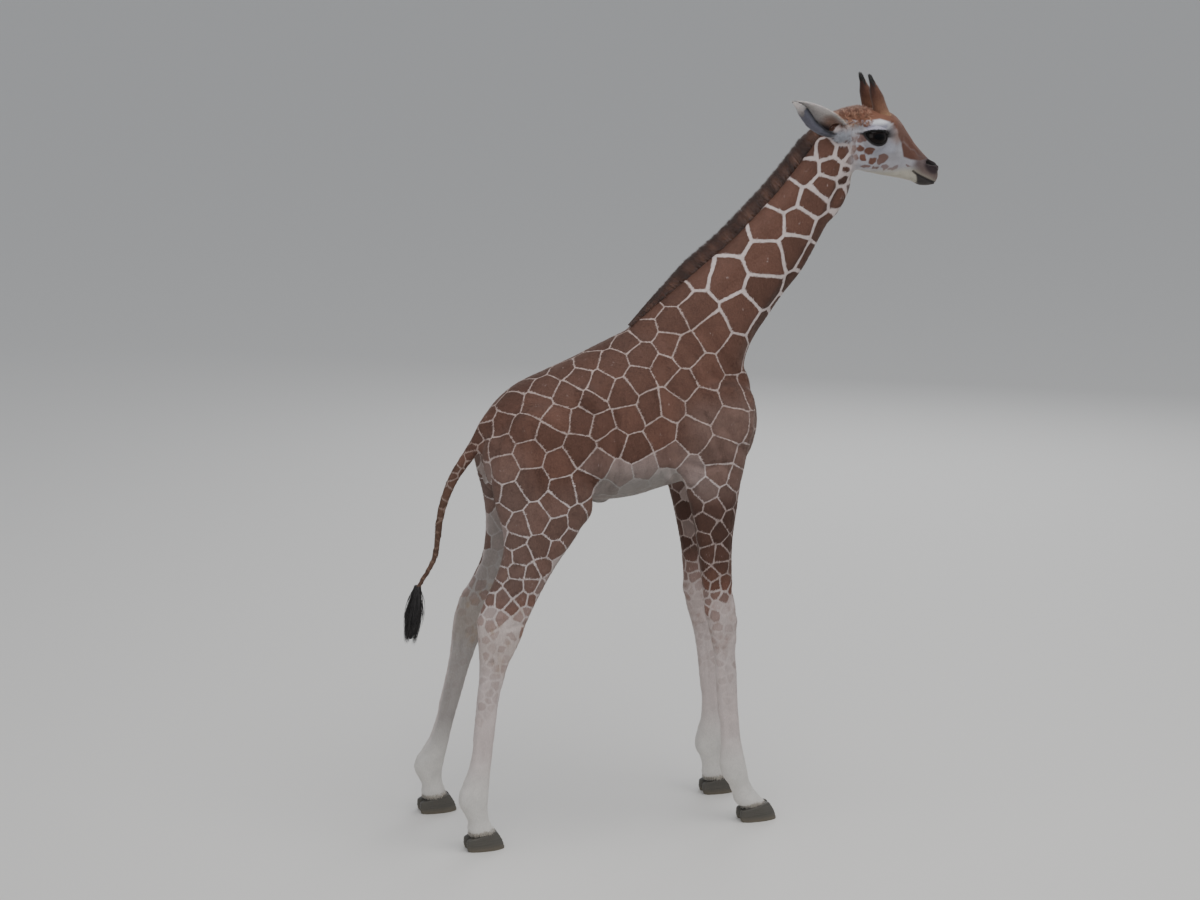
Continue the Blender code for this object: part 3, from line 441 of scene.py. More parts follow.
def turned(point):
    """A point of the unturned head after the head is turned."""
    return Matrix.Rotation(HEAD_TURN, 3, "Z") @ (Vector(point) - HEAD_PIVOT) + HEAD_PIVOT


def unturned(co):
    """Points of the turned head, set back in the frame where the head looks straight ahead."""
    c, s = math.cos(HEAD_TURN), math.sin(HEAD_TURN)
    q = np.asarray(co) - np.array(HEAD_PIVOT)
    return np.stack([c * q[:, 0] + s * q[:, 1], -s * q[:, 0] + c * q[:, 1], q[:, 2]], 1) + np.array(HEAD_PIVOT)


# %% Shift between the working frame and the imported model
eye_low, eye_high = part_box("eye_right")
SHIFT = (Vector(eye_low) + Vector(eye_high)) / 2 - turned((EYE_AT[0], -EYE_AT[1], EYE_AT[2]))
print("working frame is shifted by", tuple(round(v, 4) for v in SHIFT))


# %% Joining the forms
def head_forms(bm):
    loft(bm, paired_rings(SKULL, 32, 2.2))
    loft(bm, paired_rings(JAW, 24, 2.2))
    x, y, z = EYE_AT
    for side in (1, -1):
        add_swell(bm, (x - 0.004, side * (y - 0.014), z + 0.008), (0.044, 0.034, 0.036), 20)     # orbit
        add_swell(bm, (0.764, side * 0.040, 1.884), (0.050, 0.024, 0.040), 25)                  # cheek
        add_swell(bm, (0.985, side * 0.021, 1.832), (0.022, 0.0175, 0.021), 40)                 # nostril wing
        add_swell(bm, (0.972, side * 0.016, 1.803), (0.034, 0.019, 0.014), 25)                  # upper lip
        add_swell(bm, (0.672, side * 0.046, 1.955), (0.030, 0.024, 0.030), 0)                   # ear root
    add_swell(bm, (0.975, 0, 1.791), (0.020, 0.017, 0.011), 20)                                 # chin


def body_forms(bm):
    loft(bm, trunk_rings())
    loft(bm, paired_rings(NECK, 28, 2.1))
    for side, rows in LEGS.values():
        loft(bm, leg_rings(rows, side))
    loft(bm, tail_rings(TAIL))
    for side in (1, -1):
        for centre, radii, pitch in SWELLS:
            add_swell(bm, (centre[0], side * centre[1], centre[2]), radii, pitch)
        add_swell(bm, (-0.318, side * 0.052, 1.085), (0.034, 0.040, 0.075), 0)                  # buttock
    add_swell(bm, (0.008, 0, 0.946), (0.034, 0.016, 0.020), -20)                                # sheath fold
    add_swell(bm, (0.690, 0, 1.765), (0.027, 0.026, 0.082), 28)                                 # larynx
    bm.verts.ensure_lookup_table()
    before = len(bm.verts)
    head_forms(bm)
    bm.verts.ensure_lookup_table()
    for v in bm.verts[before:]:
        share = min(max((v.co.x - HEAD_PIVOT.x + 0.03) / 0.08, 0), 1)
        share = share * share * (3 - 2 * share)
        v.co = Matrix.Rotation(HEAD_TURN * share, 3, "Z") @ (v.co - HEAD_PIVOT) + HEAD_PIVOT


def evaluated_mesh(thing):
    bpy.context.view_layer.update()
    return bpy.data.meshes.new_from_object(thing.evaluated_get(bpy.context.evaluated_depsgraph_get()))


def coordinates(mesh):
    co = np.empty(len(mesh.vertices) * 3)
    mesh.vertices.foreach_get("co", co)
    return co.reshape(-1, 3)


def normals_of(mesh):
    out = np.empty(len(mesh.vertices) * 3)
    mesh.vertices.foreach_get("normal", out)
    return out.reshape(-1, 3)


def set_coordinates(mesh, co):
    mesh.vertices.foreach_set("co", np.ascontiguousarray(co).ravel())
    mesh.update()


def relax(mesh, rounds, weight=None, keep=0.53):
    """Smooths a mesh and keeps its volume, by alternate inward and outward steps."""
    co = coordinates(mesh)
    count = len(co)
    edges = np.empty(len(mesh.edges) * 2, np.int32)
    mesh.edges.foreach_get("vertices", edges)
    a, b = edges.reshape(-1, 2).T
    degree = np.bincount(a, minlength=count) + np.bincount(b, minlength=count)
    w = np.ones(count) if weight is None else weight(co)
    for _ in range(rounds):
        for step in (0.5, -keep):
            total = np.empty_like(co)
            for axis in range(3):
                total[:, axis] = np.bincount(a, co[b, axis], count) + np.bincount(b, co[a, axis], count)
            co = co + step * w[:, None] * (total / degree[:, None] - co)
    set_coordinates(mesh, co)


def near(co, point, reach):
    return np.clip(1 - np.linalg.norm(co - np.array(point), axis=1) / reach, 0, 1)


def joint_weight(co):
    """Strong smoothing where limbs and neck grow out of the trunk, little at the head and feet."""
    w = np.full(len(co), 0.25)
    for point, reach in (((0.30, 0.12, 1.10), 0.22), ((0.30, -0.12, 1.10), 0.22),
                         ((-0.12, 0.12, 1.08), 0.27), ((-0.12, -0.12, 1.08), 0.27),
                         ((0.20, 0, 1.36), 0.24), ((-0.32, 0, 1.15), 0.12), ((0.66, 0, 1.92), 0.12),
                         ((0.42, 0, 1.31), 0.18), ((0.34, 0.09, 1.29), 0.17), ((0.34, -0.09, 1.29), 0.17),
                         ((0.69, 0, 1.77), 0.11)):
        w = np.maximum(w, np.clip(near(co, point, reach) * 3, 0, 1))
    return w


bm = bmesh.new()
body_forms(bm)
bmesh.ops.recalc_face_normals(bm, faces=bm.faces)
rough = bpy.data.meshes.new("rough")
bm.to_mesh(rough)
bm.free()
skin = bpy.data.objects.new("skin", rough)
bpy.context.scene.collection.objects.link(skin)
grid = skin.modifiers.new("grid", "REMESH")
grid.mode, grid.voxel_size = "VOXEL", VOXEL
smooth_body = evaluated_mesh(skin)
skin.modifiers.clear()
skin.data = smooth_body
relax(skin.data, 5)
relax(skin.data, 55, joint_weight)
print("joined body:", len(skin.data.polygons), "faces")


# %% [markdown]
# ## Finer mesh on the head
# The head needs lids, nostrils and lips, so its faces are cut in four, and those round the eyes
# and the muzzle again. The new points are relaxed so that no facet shows.

# %% Cutting the head finer
def cut_finer(mesh, chosen):
    """Cuts every face whose middle is chosen into four."""
    bm = bmesh.new()
    bm.from_mesh(mesh)
    middles = np.array([f.calc_center_median() for f in bm.faces])
    pick = chosen(middles)
    edges = {e for f, wanted in zip(bm.faces, pick) if wanted for e in f.edges}
    bmesh.ops.subdivide_edges(bm, edges=list(edges), cuts=1, use_grid_fill=True)
    bm.to_mesh(mesh)
    bm.free()


EYES = {side: np.array(turned((BALL_AT[0], side * BALL_AT[1], BALL_AT[2]))) for side in (1, -1)}


def to_eyes(co):
    return np.minimum(*[np.linalg.norm(co - c, axis=1) for c in EYES.values()])


def whole_head(co):
    return (co[:, 0] > 0.680) & (co[:, 2] > 1.775)


def face_sides(co):
    """Muzzle, cheeks and the surround of the eyes, where the painted borders and the folds are."""
    x, y, z = unturned(co).T
    cheek = (x > 0.705) & (x < 0.905) & (z > 1.842) & (z < 1.945) & (np.abs(y) > 0.020)
    return cheek | (x > 0.900) & (z < 1.925) & (z > 1.77) | (to_eyes(co) < 0.058) & (np.abs(y) > 0.040)


def lids_and_lips(co):
    x, y, z = unturned(co).T
    return (to_eyes(co) < 0.0465) & (np.abs(y) > 0.050) | (x > 0.962)


for fine in (whole_head, face_sides, lids_and_lips):
    cut_finer(skin.data, fine)
    relax(skin.data, 5, lambda co: fine(co).astype(float))
print("finer head:", len(skin.data.polygons), "faces")

# %% [markdown]
# ## Muscles, folds and bones
# Each is a short line on the side of the animal that lifts or sinks the skin within a radius.
# They are listed by name. Lines on the trunk and neck are in the plane of the side view, and
# those on a leg are given by height and by the share of the way from its front to its back.

# %% Lift and sink
co = coordinates(skin.data)
normal = normals_of(skin.data)
face_share = np.clip((co[:, 0] - 0.70) / 0.06, 0, 1) * np.clip((co[:, 2] - 1.74) / 0.05, 0, 1)
foot_share = np.clip((0.30 - co[:, 2]) / 0.15, 0, 1)
co -= normal * (COAT_DEPTH - 0.0010 * np.maximum(face_share, foot_share))[:, None]


def to_segment(points, start, end):
    """Distance of each point from a segment, in as many axes as are given."""
    start, end = np.array(start, float), np.array(end, float)
    along = end - start
    share = np.clip((points - start) @ along / max(along @ along, 1e-12), 0, 1)
    return np.linalg.norm(points - (start + share[:, None] * along), axis=1)


def step(low, high, value):
    t = np.clip((value - low) / (high - low), 0, 1)
    return t * t * (3 - 2 * t)


def bell(distance, radius, sharp=2.0):
    return np.clip(1 - (distance / radius) ** 2, 0, 1) ** sharp


# Side of trunk and neck: name, line of x, z, radius, lift in mm
SIDE_FORMS = (
    ("blade ridge", ((0.195, 1.375), (0.255, 1.30), (0.335, 1.195)), 0.028, 4.8),
    ("before the blade", ((0.275, 1.415), (0.345, 1.315), (0.402, 1.235)), 0.032, -5.6),
    ("behind the blade", ((0.150, 1.330), (0.165, 1.24), (0.184, 1.09)), 0.034, -9.0),
    ("triceps edge", ((0.205, 1.17), (0.195, 1.075), (0.215, 1.01)), 0.022, 3.0),
    ("shoulder joint", ((0.370, 1.185), (0.388, 1.135)), 0.036, 6.0),
    ("below the shoulder joint", ((0.322, 1.150), (0.352, 1.100), (0.392, 1.075)), 0.022, -6.0),
    ("upper arm", ((0.248, 1.136), (0.262, 1.112)), 0.050, 10.0),
    ("elbow fold", ((0.210, 1.062), (0.262, 1.044), (0.314, 1.058)), 0.016, -8.0),
    ("elbow light", ((0.226, 1.020), (0.232, 1.012)), 0.022, 2.4),
    ("triceps heads", ((0.262, 1.190), (0.300, 1.095), (0.322, 1.035)), 0.018, -5.0),
    ("elbow", ((0.222, 1.005), (0.232, 0.985)), 0.026, 4.2),
    ("armpit crease", ((0.156, 1.046), (0.195, 1.005), (0.224, 0.986)), 0.018, -6.5),
    ("ribs", ((0.120, 1.27), (0.085, 1.14), (0.090, 1.04)), 0.014, -1.2),
    ("ribs 2", ((0.075, 1.27), (0.040, 1.15), (0.045, 1.05)), 0.014, -1.0),
    ("ribs 3", ((0.030, 1.27), (0.000, 1.17), (0.005, 1.08)), 0.014, -0.9),
    ("flank hollow", ((-0.006, 1.245), (0.004, 1.180)), 0.050, -5.0),
    ("flank fold", ((-0.040, 1.225), (-0.044, 1.140), (-0.034, 1.045), (-0.054, 0.985)), 0.023, 5.4),
    ("before the flank fold", ((-0.002, 1.205), (-0.006, 1.130), (0.002, 1.050), (-0.016, 0.985)), 0.026, -9.5),
    ("behind the flank fold", ((-0.072, 1.125), (-0.068, 1.040), (-0.088, 0.960)), 0.016, -3.0),
    ("hip point", ((-0.070, 1.262), (-0.048, 1.240)), 0.034, 2.6),
    ("thigh groove", ((-0.235, 1.185), (-0.232, 1.08), (-0.205, 0.965)), 0.022, -4.6),
    ("buttock edge", ((-0.318, 1.130), (-0.322, 1.04)), 0.022, 2.6),
    ("stifle", ((-0.088, 0.985), (-0.080, 0.955)), 0.030, 3.4),
    ("below the stifle", ((-0.125, 0.925), (-0.155, 0.880)), 0.024, -4.5),
    ("jugular groove", ((0.440, 1.405), (0.525, 1.520), (0.622, 1.660), (0.690, 1.800)), 0.023, -3.8),
    ("neck muscle", ((0.262, 1.500), (0.375, 1.600), (0.498, 1.730), (0.600, 1.868)), 0.030, 1.8),
    ("neck groove", ((0.330, 1.500), (0.452, 1.615), (0.560, 1.762), (0.636, 1.870)), 0.022, -2.4),
    ("parotid hollow", ((0.700, 1.925), (0.720, 1.860)), 0.015, -2.4),
)
across = np.abs(normal[:, 1])
on_side = np.clip((across - 0.25) / 0.4, 0, 1)
move = np.zeros(len(co))
flat = co[:, [0, 2]]
hung = (co[:, 0] < -0.345)
for name, line, radius, lift in SIDE_FORMS:
    distance = np.min([to_segment(flat, a, b) for a, b in zip(line, line[1:])], axis=0)
    move += bell(distance, radius) * on_side * lift / 1000 * ~hung
print(len(SIDE_FORMS), "forms on each side")


# %% Forms of the legs
def leg_at(rows, z):
    """Front x, rear x, middle and half width of a leg at a height."""
    table = np.array(rows)[::-1]
    return [np.interp(z, table[:, 0], table[:, k]) for k in range(1, 5)]


# Which legs, name, line of height and share from front to back, radius, lift in mm, faces touched
LEG_FORMS = (
    ("fore", "forearm groove", ((0.93, 0.60), (0.80, 0.58), (0.70, 0.55)), 0.015, -4.6, "both"),
    ("fore", "forearm front", ((0.90, 0.28), (0.76, 0.28)), 0.020, 1.6, "both"),
    ("fore", "knee top", ((0.640, 0.18), (0.640, 0.30)), 0.020, 2.2, "front"),
    ("fore", "knee cap", ((0.600, 0.15), (0.585, 0.25)), 0.022, 3.2, "front"),
    ("fore", "knee low", ((0.548, 0.20), (0.548, 0.30)), 0.018, 1.6, "front"),
    ("fore", "knee crease", ((0.617, 0.10), (0.617, 0.40)), 0.008, -2.4, "front"),
    ("fore", "above the knee", ((0.688, 0.02), (0.680, 0.30)), 0.026, -3.0, "front"),
    ("fore", "below the knee", ((0.505, 0.02), (0.480, 0.30)), 0.040, -2.6, "front"),
    ("fore", "knee side", ((0.625, 0.45), (0.575, 0.50)), 0.018, 2.0, "both"),
    ("fore", "behind the knee", ((0.640, 0.88), (0.622, 0.95)), 0.018, 3.2, "rear"),
    ("fore", "tendon groove", ((0.52, 0.62), (0.40, 0.60), (0.25, 0.58)), 0.012, -4.6, "both"),
    ("fore", "above the fetlock", ((0.290, 1.0), (0.235, 1.0)), 0.040, -4.0, "rear"),
    ("fore", "cannon bone", ((0.50, 0.25), (0.26, 0.25)), 0.014, 1.2, "both"),
    ("fore", "fetlock side", ((0.185, 0.42), (0.160, 0.45)), 0.020, 2.0, "both"),
    ("fore", "fetlock rear", ((0.170, 0.95), (0.150, 0.95)), 0.020, 2.6, "rear"),
    ("fore", "pastern hollow", ((0.108, 0.90), (0.090, 0.85)), 0.028, -7.0, "rear"),
    ("fore", "pastern side", ((0.112, 0.35), (0.088, 0.40)), 0.026, -3.6, "both"),
    ("fore", "pastern front", ((0.125, 0.0), (0.098, 0.0)), 0.026, -3.0, "front"),
    ("fore", "toe split", ((0.110, 0.00), (0.060, 0.00)), 0.007, -2.2, "front"),
    ("hind", "tendon hollow", ((0.80, 0.76), (0.735, 0.74), (0.680, 0.68)), 0.018, -7.0, "both"),
    ("hind", "gaskin muscle", ((0.86, 0.42), (0.76, 0.40)), 0.026, 2.6, "both"),
    ("hind", "hock point", ((0.660, 1.0), (0.640, 1.0)), 0.020, 3.0, "rear"),
    ("hind", "hock side", ((0.610, 0.45), (0.575, 0.45)), 0.022, 2.2, "both"),
    ("hind", "hock front", ((0.600, 0.02), (0.575, 0.02)), 0.020, 1.8, "front"),
    ("hind", "hock crease", ((0.640, 0.05), (0.632, 0.40)), 0.010, -3.2, "both"),
    ("hind", "below the hock", ((0.525, 0.02), (0.500, 0.25)), 0.030, -3.0, "front"),
    ("hind", "above the fetlock", ((0.290, 1.0), (0.230, 1.0)), 0.040, -3.6, "rear"),
    ("hind", "tendon groove", ((0.54, 0.66), (0.42, 0.60), (0.25, 0.58)), 0.012, -4.6, "both"),
    ("hind", "fetlock side", ((0.185, 0.42), (0.160, 0.45)), 0.020, 2.0, "both"),
    ("hind", "fetlock rear", ((0.165, 0.95), (0.145, 0.95)), 0.020, 2.8, "rear"),
    ("hind", "pastern hollow", ((0.106, 0.90), (0.088, 0.85)), 0.028, -7.0, "rear"),
    ("hind", "pastern side", ((0.110, 0.35), (0.088, 0.40)), 0.026, -3.6, "both"),
    ("hind", "pastern front", ((0.125, 0.0), (0.098, 0.0)), 0.026, -3.0, "front"),
    ("hind", "toe split", ((0.110, 0.00), (0.060, 0.00)), 0.007, -2.2, "front"),
)
for foot, (side, rows) in LEGS.items():
    here = (co[:, 2] < 0.95) & (co[:, 1] * side > 0) & ((co[:, 0] > 0.1) == (foot[:4] == "fore")) & (co[:, 0] > -0.56)
    if foot[:4] == "hind":
        here &= np.linalg.norm(co[:, [1]], axis=1) > 0.03
    here = np.flatnonzero(here)
    p, n = co[here], normal[here]
    for kind, name, line, radius, lift, where in LEG_FORMS:
        if kind != foot[:4]:
            continue
        path = []
        for z, share in line:
            front, rear, _, _ = leg_at(rows, z)
            path.append((front + (rear - front) * share, z))
        distance = np.min([to_segment(p[:, [0, 2]], a, b) for a, b in zip(path, path[1:])], axis=0)
        facing = {"both": np.clip((np.abs(n[:, 1]) - 0.2) / 0.4, 0, 1), "front": np.clip(n[:, 0] + 0.1, 0, 1),
                  "rear": np.clip(0.1 - n[:, 0], 0, 1)}[where]
        if name == "toe split":
            facing = facing * bell(np.abs(p[:, 1] - side * leg_at(rows, 0.08)[2]), 0.010)
            distance = np.maximum(distance - 0.012, 0)
        move[here] += bell(distance, radius) * facing * lift / 1000
print(len(LEG_FORMS), "forms on the legs")

# %% Chest, throat and belly
centre_line = bell(np.abs(co[:, 1]), 0.020)
for name, line, radius, lift in (
        ("breast groove", ((0.455, 1.17), (0.440, 1.07), (0.400, 1.01)), 0.030, -5.0),
        ("windpipe", ((0.445, 1.40), (0.540, 1.50), (0.690, 1.74)), 0.035, 1.5),
        ("tail root groove", ((-0.300, 1.19), (-0.310, 1.16)), 0.030, -2.0)):
    distance = np.min([to_segment(flat, a, b) for a, b in zip(line, line[1:])], axis=0)
    move += bell(distance, radius) * centre_line * lift / 1000
co += normal * move[:, None]
set_coordinates(skin.data, co)
print("largest lift and sink in mm:", round(move.max() * 1000, 1), round(move.min() * 1000, 1))

# %% [markdown]
# ## The face
# The head is worked in the frame where it looks straight ahead. Ridges and hollows come first.
# Then each eye gets its lids: skin near the opening is laid on a shell just outside the eyeball,
# and skin inside the opening is pushed behind it, so that the ball shows through a clean almond.

# %% Ridges and hollows of the head
co = coordinates(skin.data)
normal = normals_of(skin.data)
straight = unturned(co)
head_normal = unturned(normal + np.array(HEAD_PIVOT)) - np.array(HEAD_PIVOT)
face = (straight[:, 0] > 0.66) & (straight[:, 2] > 1.76)
HEAD_FORMS = (
    ("brow", ((0.742, 1.962), (0.775, 1.981), (0.815, 1.972), (0.840, 1.950)), 0.013, 3.4),
    ("above the brow", ((0.760, 1.998), (0.800, 1.998)), 0.014, -1.5),
    ("temple", ((0.715, 1.968), (0.728, 1.950)), 0.018, -3.0),
    ("tear hollow", ((0.838, 1.928), (0.862, 1.905)), 0.017, -3.0),
    ("cheekbone", ((0.735, 1.910), (0.785, 1.896), (0.845, 1.893)), 0.012, 2.6),
    ("below the cheekbone", ((0.800, 1.868), (0.860, 1.862)), 0.018, -2.8),
    ("nose side", ((0.880, 1.925), (0.925, 1.880), (0.955, 1.858)), 0.012, -2.0),
    ("nose ridge", ((0.878, 1.960), (0.915, 1.918)), 0.010, 1.2),
    ("jaw edge", ((0.745, 1.850), (0.800, 1.834), (0.870, 1.818)), 0.010, 1.6),
    ("cheek to jaw", ((0.735, 1.872), (0.775, 1.852)), 0.010, -1.4),
    ("lip swell", ((0.950, 1.822), (0.985, 1.806)), 0.012, 1.4),
)
lift = np.zeros(len(co))
side_on = np.clip((np.abs(head_normal[:, 1]) - 0.15) / 0.35, 0, 1)
for name, line, radius, height in HEAD_FORMS:
    distance = np.min([to_segment(straight[:, [0, 2]], a, b) for a, b in zip(line, line[1:])], axis=0)
    lift += bell(distance, radius) * side_on * height / 1000 * face
# Mouth: a fine groove from the corner of the lips to the front of the muzzle.
MOUTH = ((0.922, 1.829), (0.936, 1.819), (0.955, 1.809), (0.976, 1.799), (0.996, 1.791), (1.012, 1.787))
mouth_distance = np.min([to_segment(straight[:, [0, 2]], a, b) for a, b in zip(MOUTH, MOUTH[1:])], axis=0)
mouth_cut = bell(mouth_distance, 0.0042, 1.5) * face
lift -= mouth_cut * 0.0036 * step(1.002, 0.982, straight[:, 0])
# Nostrils: a comma-shaped slit with a raised rim on each side of the muzzle.
NOSTRIL = ((0.966, 0.034, 1.852), (0.980, 0.031, 1.850), (0.990, 0.027, 1.844), (0.994, 0.0245, 1.837))
folded = straight * (1, 0, 1) + np.abs(straight) * (0, 1, 0)
nostril_distance = np.min([to_segment(folded, a, b) for a, b in zip(NOSTRIL, NOSTRIL[1:])], axis=0)
nostril_pit = bell(nostril_distance, 0.0082, 1.3) * face
lift += 0.0016 * bell(nostril_distance - 0.0095, 0.0050) * face - 0.0080 * nostril_pit
co += normal * lift[:, None]
set_coordinates(skin.data, co)
relax(skin.data, 6, lambda co: 0.8 * lids_and_lips(co) * (to_eyes(co) > 0.07))
relax(skin.data, 14, lambda co: 0.9 * bell(np.linalg.norm(unturned(co) - (1.003, 0, 1.787), axis=1), 0.030, 1.0))
co = coordinates(skin.data)
print("face worked with", len(HEAD_FORMS), "forms, mouth and nostrils")


# %% Lids
def eye_axes(side):
    """Outward, forward and upward axes of an eye, in the frame of the straight head."""
    out = Vector((0.03, side * 0.99, 0.07)).normalized()
    ahead = (Vector((1.0, 0.0, -0.12)) - out * Vector((1.0, 0.0, -0.12)).dot(out)).normalized()
    up = out.cross(ahead)
    return np.array(out), np.array(ahead), np.array(up if up.z > 0 else -up)


LID_HALF, LID_CORNER = 0.0352, 0.0050
LID_TOP, LID_LOW = 0.0112, 0.0265


def lid_line(x, which):
    """Height of the lid's edge at a place along the opening."""
    share = np.clip(1 - (x / LID_HALF) ** 2, 0, 1)
    return LID_CORNER + (LID_TOP * share ** 0.45 if which == "upper" else -LID_LOW * share ** 0.62)


def lid_path(count):
    """The edge of the opening as points x, y of a closed loop."""
    angle = np.linspace(0, 2 * math.pi, count, endpoint=False)
    x = LID_HALF * np.cos(angle)
    return np.stack([x, np.where(np.sin(angle) >= 0, lid_line(x, "upper"), lid_line(x, "lower"))], 1)


def lid_distance(x, y):
    """Signed distance from the lid's edge, negative in the opening."""
    loop = lid_path(72)
    points = np.stack([x, y], 1)
    best = np.full(len(x), 1e9)
    for a, b in zip(loop, np.roll(loop, -1, axis=0)):
        best = np.minimum(best, to_segment(points, a, b))
    inside = (np.abs(x) < LID_HALF) & (y < lid_line(x, "upper")) & (y > lid_line(x, "lower"))
    return np.where(inside, -best, best)


straight = unturned(co)
eye_dark = np.zeros(len(co))
lid_reflection = np.zeros(len(co))
for side in (1, -1):
    out, ahead, up = eye_axes(side)
    centre = np.array((BALL_AT[0], side * BALL_AT[1], BALL_AT[2]))
    q = straight - centre
    radius = np.linalg.norm(q, axis=1)
    close = np.flatnonzero((radius < 0.070) & (q @ out > 0.002))
    q, radius = q[close], radius[close]
    direction = q / radius[:, None]
    x, y = direction @ ahead * BALL_RADIUS, direction @ up * BALL_RADIUS
    edge = lid_distance(x, y)
    shell = BALL_RADIUS + 0.0023 + 0.0014 * bell(edge - 0.004, 0.005) - 0.0012 * bell(y - 0.0290, 0.0025) * (edge > 0)
    blend = np.clip((edge - 0.004) / 0.012, 0, 1)
    blend = blend * blend * (3 - 2 * blend)
    wanted = np.maximum(shell, radius) * blend + shell * (1 - blend)
    wanted = np.where(edge < -0.0004, BALL_RADIUS - 0.006, wanted)
    straight[close] = centre + direction * wanted[:, None]
    at = np.stack([x, y], 1)
    # The front upper corner is darkened: partly dark skin at the inner corner of the eye, partly painted shadow under
    # the brow.
    corner = np.minimum(to_segment(at, (LID_HALF - 0.004, 0.006), (LID_HALF + 0.0025, 0.0055)),
                        to_segment(at, (LID_HALF - 0.018, 0.0150), (LID_HALF - 0.003, 0.0110)))
    dark = np.maximum(np.clip(1 - (edge - 0.0016) / 0.0022, 0, 1), np.clip(1.8 - corner / 0.0048, 0, 1))
    dark = np.maximum(dark, np.clip(1.6 - to_segment(at, (-LID_HALF, 0.005), (-LID_HALF - 0.002, 0.005)) / 0.0028, 0, 1))
    eye_dark[close] = np.maximum(eye_dark[close], np.clip(dark, 0, 1))
    # Pale band over the upper lid: a painted reflection of the sky.
    lid_reflection[close] = np.maximum(lid_reflection[close], step(0.017, 0.009, np.maximum(edge, 0)) * step(0.006, 0.010, y)
                                 * step(0.030, 0.018, x) * step(-0.036, -0.028, x))
q = straight - np.array(HEAD_PIVOT)
c, s = math.cos(HEAD_TURN), math.sin(HEAD_TURN)
turned_back = np.stack([c * q[:, 0] - s * q[:, 1], s * q[:, 0] + c * q[:, 1], q[:, 2]], 1) + np.array(HEAD_PIVOT)
co = np.where(face[:, None], turned_back, co)
set_coordinates(skin.data, co)
normal = normals_of(skin.data)
print("lids laid over", int((eye_dark > 0.5).sum()), "dark points")

# %% [markdown]
# ## The net of pale lines
# Reticulated giraffes carry large liver-coloured patches with a fine net of cream between them.
# Seeds are scattered over the skin with a spacing that suits each region and are moved to the
# middle of their cells once, which gives many-sided patches of even size. Every seed gets a class
# so that neighbours never share one. For each class the skin stores the distance to its nearest
# seed; a shader then finds the two smallest, and the line runs where they are equal. That stays
# crisp whatever the size of the mesh.

# %% Regions of the coat
def along_neck(p):
    """0 at the foot of the neck, 1 behind the head."""
    return np.clip(((p[:, 0] - 0.30) * 0.62 + (p[:, 2] - 1.42) * 0.78) / 0.62, 0, 1)


def regions(p, n):
    """Shares of head, neck, legs and tail at each point."""
    straight = unturned(p)
    head = step(0.69, 0.735, straight[:, 0] + 0.22 * (straight[:, 2] - 1.90)) * step(1.72, 1.78, p[:, 2])
    neck = step(-0.03, 0.12, ((p[:, 0] - 0.29) * 0.724 + (p[:, 2] - 1.43) * 0.69)) * (1 - head)
    tail = step(0.33, 0.37, -p[:, 0]) * (np.abs(p[:, 1]) < 0.05) * step(0.60, 0.70, p[:, 2])
    fore = step(1.02, 0.92, p[:, 2]) * (p[:, 0] > 0.10)
    hind = step(0.98, 0.86, p[:, 2]) * (p[:, 0] < 0.02) * (1 - tail)
    return {"head": head, "neck": neck, "tail": tail, "fore": fore, "hind": hind}


def spacing(p):
    """Distance between patch centres at each point, in metres."""
    z = p[:, 2]
    trunk = 0.065 + 0.028 * step(0.16, 0.26, p[:, 0]) * step(1.05, 1.15, z) + 0.004 * step(-0.10, -0.20, p[:, 0])
    neck = np.interp(along_neck(p), (0, 0.45, 0.8, 1.0), (0.100, 0.086, 0.066, 0.046))
    upper = step(-0.04, 0.10, (p[:, 0] - 0.29) * 0.724 + (z - 1.43) * 0.69)
    out = trunk * (1 - upper) + neck * upper
    fore = np.interp(z, (0.55, 0.66, 0.78, 0.92, 1.05), (0.022, 0.028, 0.038, 0.050, 0.066))
    hind = np.interp(z, (0.58, 0.68, 0.78, 0.88, 1.0), (0.022, 0.029, 0.040, 0.053, 0.064))
    out = np.where((p[:, 0] > 0.10) & (z < 1.05), fore, out)
    out = np.where((p[:, 0] < 0.02) & (z < 1.0), hind, out)
    straight = unturned(p)
    cheek = (straight[:, 0] > 0.70) & (z > 1.78)
    out = np.where(cheek, 0.026, out)
    tail = (p[:, 0] < -0.345) & (np.abs(p[:, 1]) < 0.05)
    return np.where(tail, 0.026, out)


def wandering(p, size, amount, seed):
    """Points moved by a smooth wavy field, so that straight cell walls bend."""
    draw = np.random.default_rng(seed)
    out = p.copy()
    for _ in range(5):
        direction = draw.normal(size=3)
        direction /= np.linalg.norm(direction)
        push = draw.normal(size=3)
        push /= np.linalg.norm(push)
        wave = np.sin(p @ direction * 2 * math.pi / (size * draw.uniform(0.7, 1.5)) + draw.uniform(0, 6.28))
        out += wave[:, None] * push * amount / 2
    return out


def surface_points(mesh, count, seed, weight=None):
    """Points spread evenly over a mesh: place, smooth normal, loop triangle and its shares."""
    mesh.calc_loop_triangles()
    corners = np.empty(len(mesh.loop_triangles) * 3, np.int32)
    mesh.loop_triangles.foreach_get("vertices", corners)
    corners = corners.reshape(-1, 3)
    loops = np.empty(len(mesh.loop_triangles) * 3, np.int32)
    mesh.loop_triangles.foreach_get("loops", loops)
    loops = loops.reshape(-1, 3)
    place, facing = coordinates(mesh), normals_of(mesh)
    a, b, c = (place[corners[:, k]] for k in range(3))
    area = np.linalg.norm(np.cross(b - a, c - a), axis=1) / 2
    if weight is not None:
        area = area * weight((a + b + c) / 3)
    draw = np.random.default_rng(seed)
    pick = draw.choice(len(area), size=count, p=area / area.sum())
    u, v = draw.random(count), draw.random(count)
    over = u + v > 1
    u, v = np.where(over, 1 - u, u), np.where(over, 1 - v, v)
    shares = np.stack([1 - u - v, u, v], 1)
    at = (place[corners[pick]] * shares[:, :, None]).sum(1)
    up = (facing[corners[pick]] * shares[:, :, None]).sum(1)
    up /= np.maximum(np.linalg.norm(up, axis=1), 1e-9)[:, None]
    return at, up, loops[pick], shares


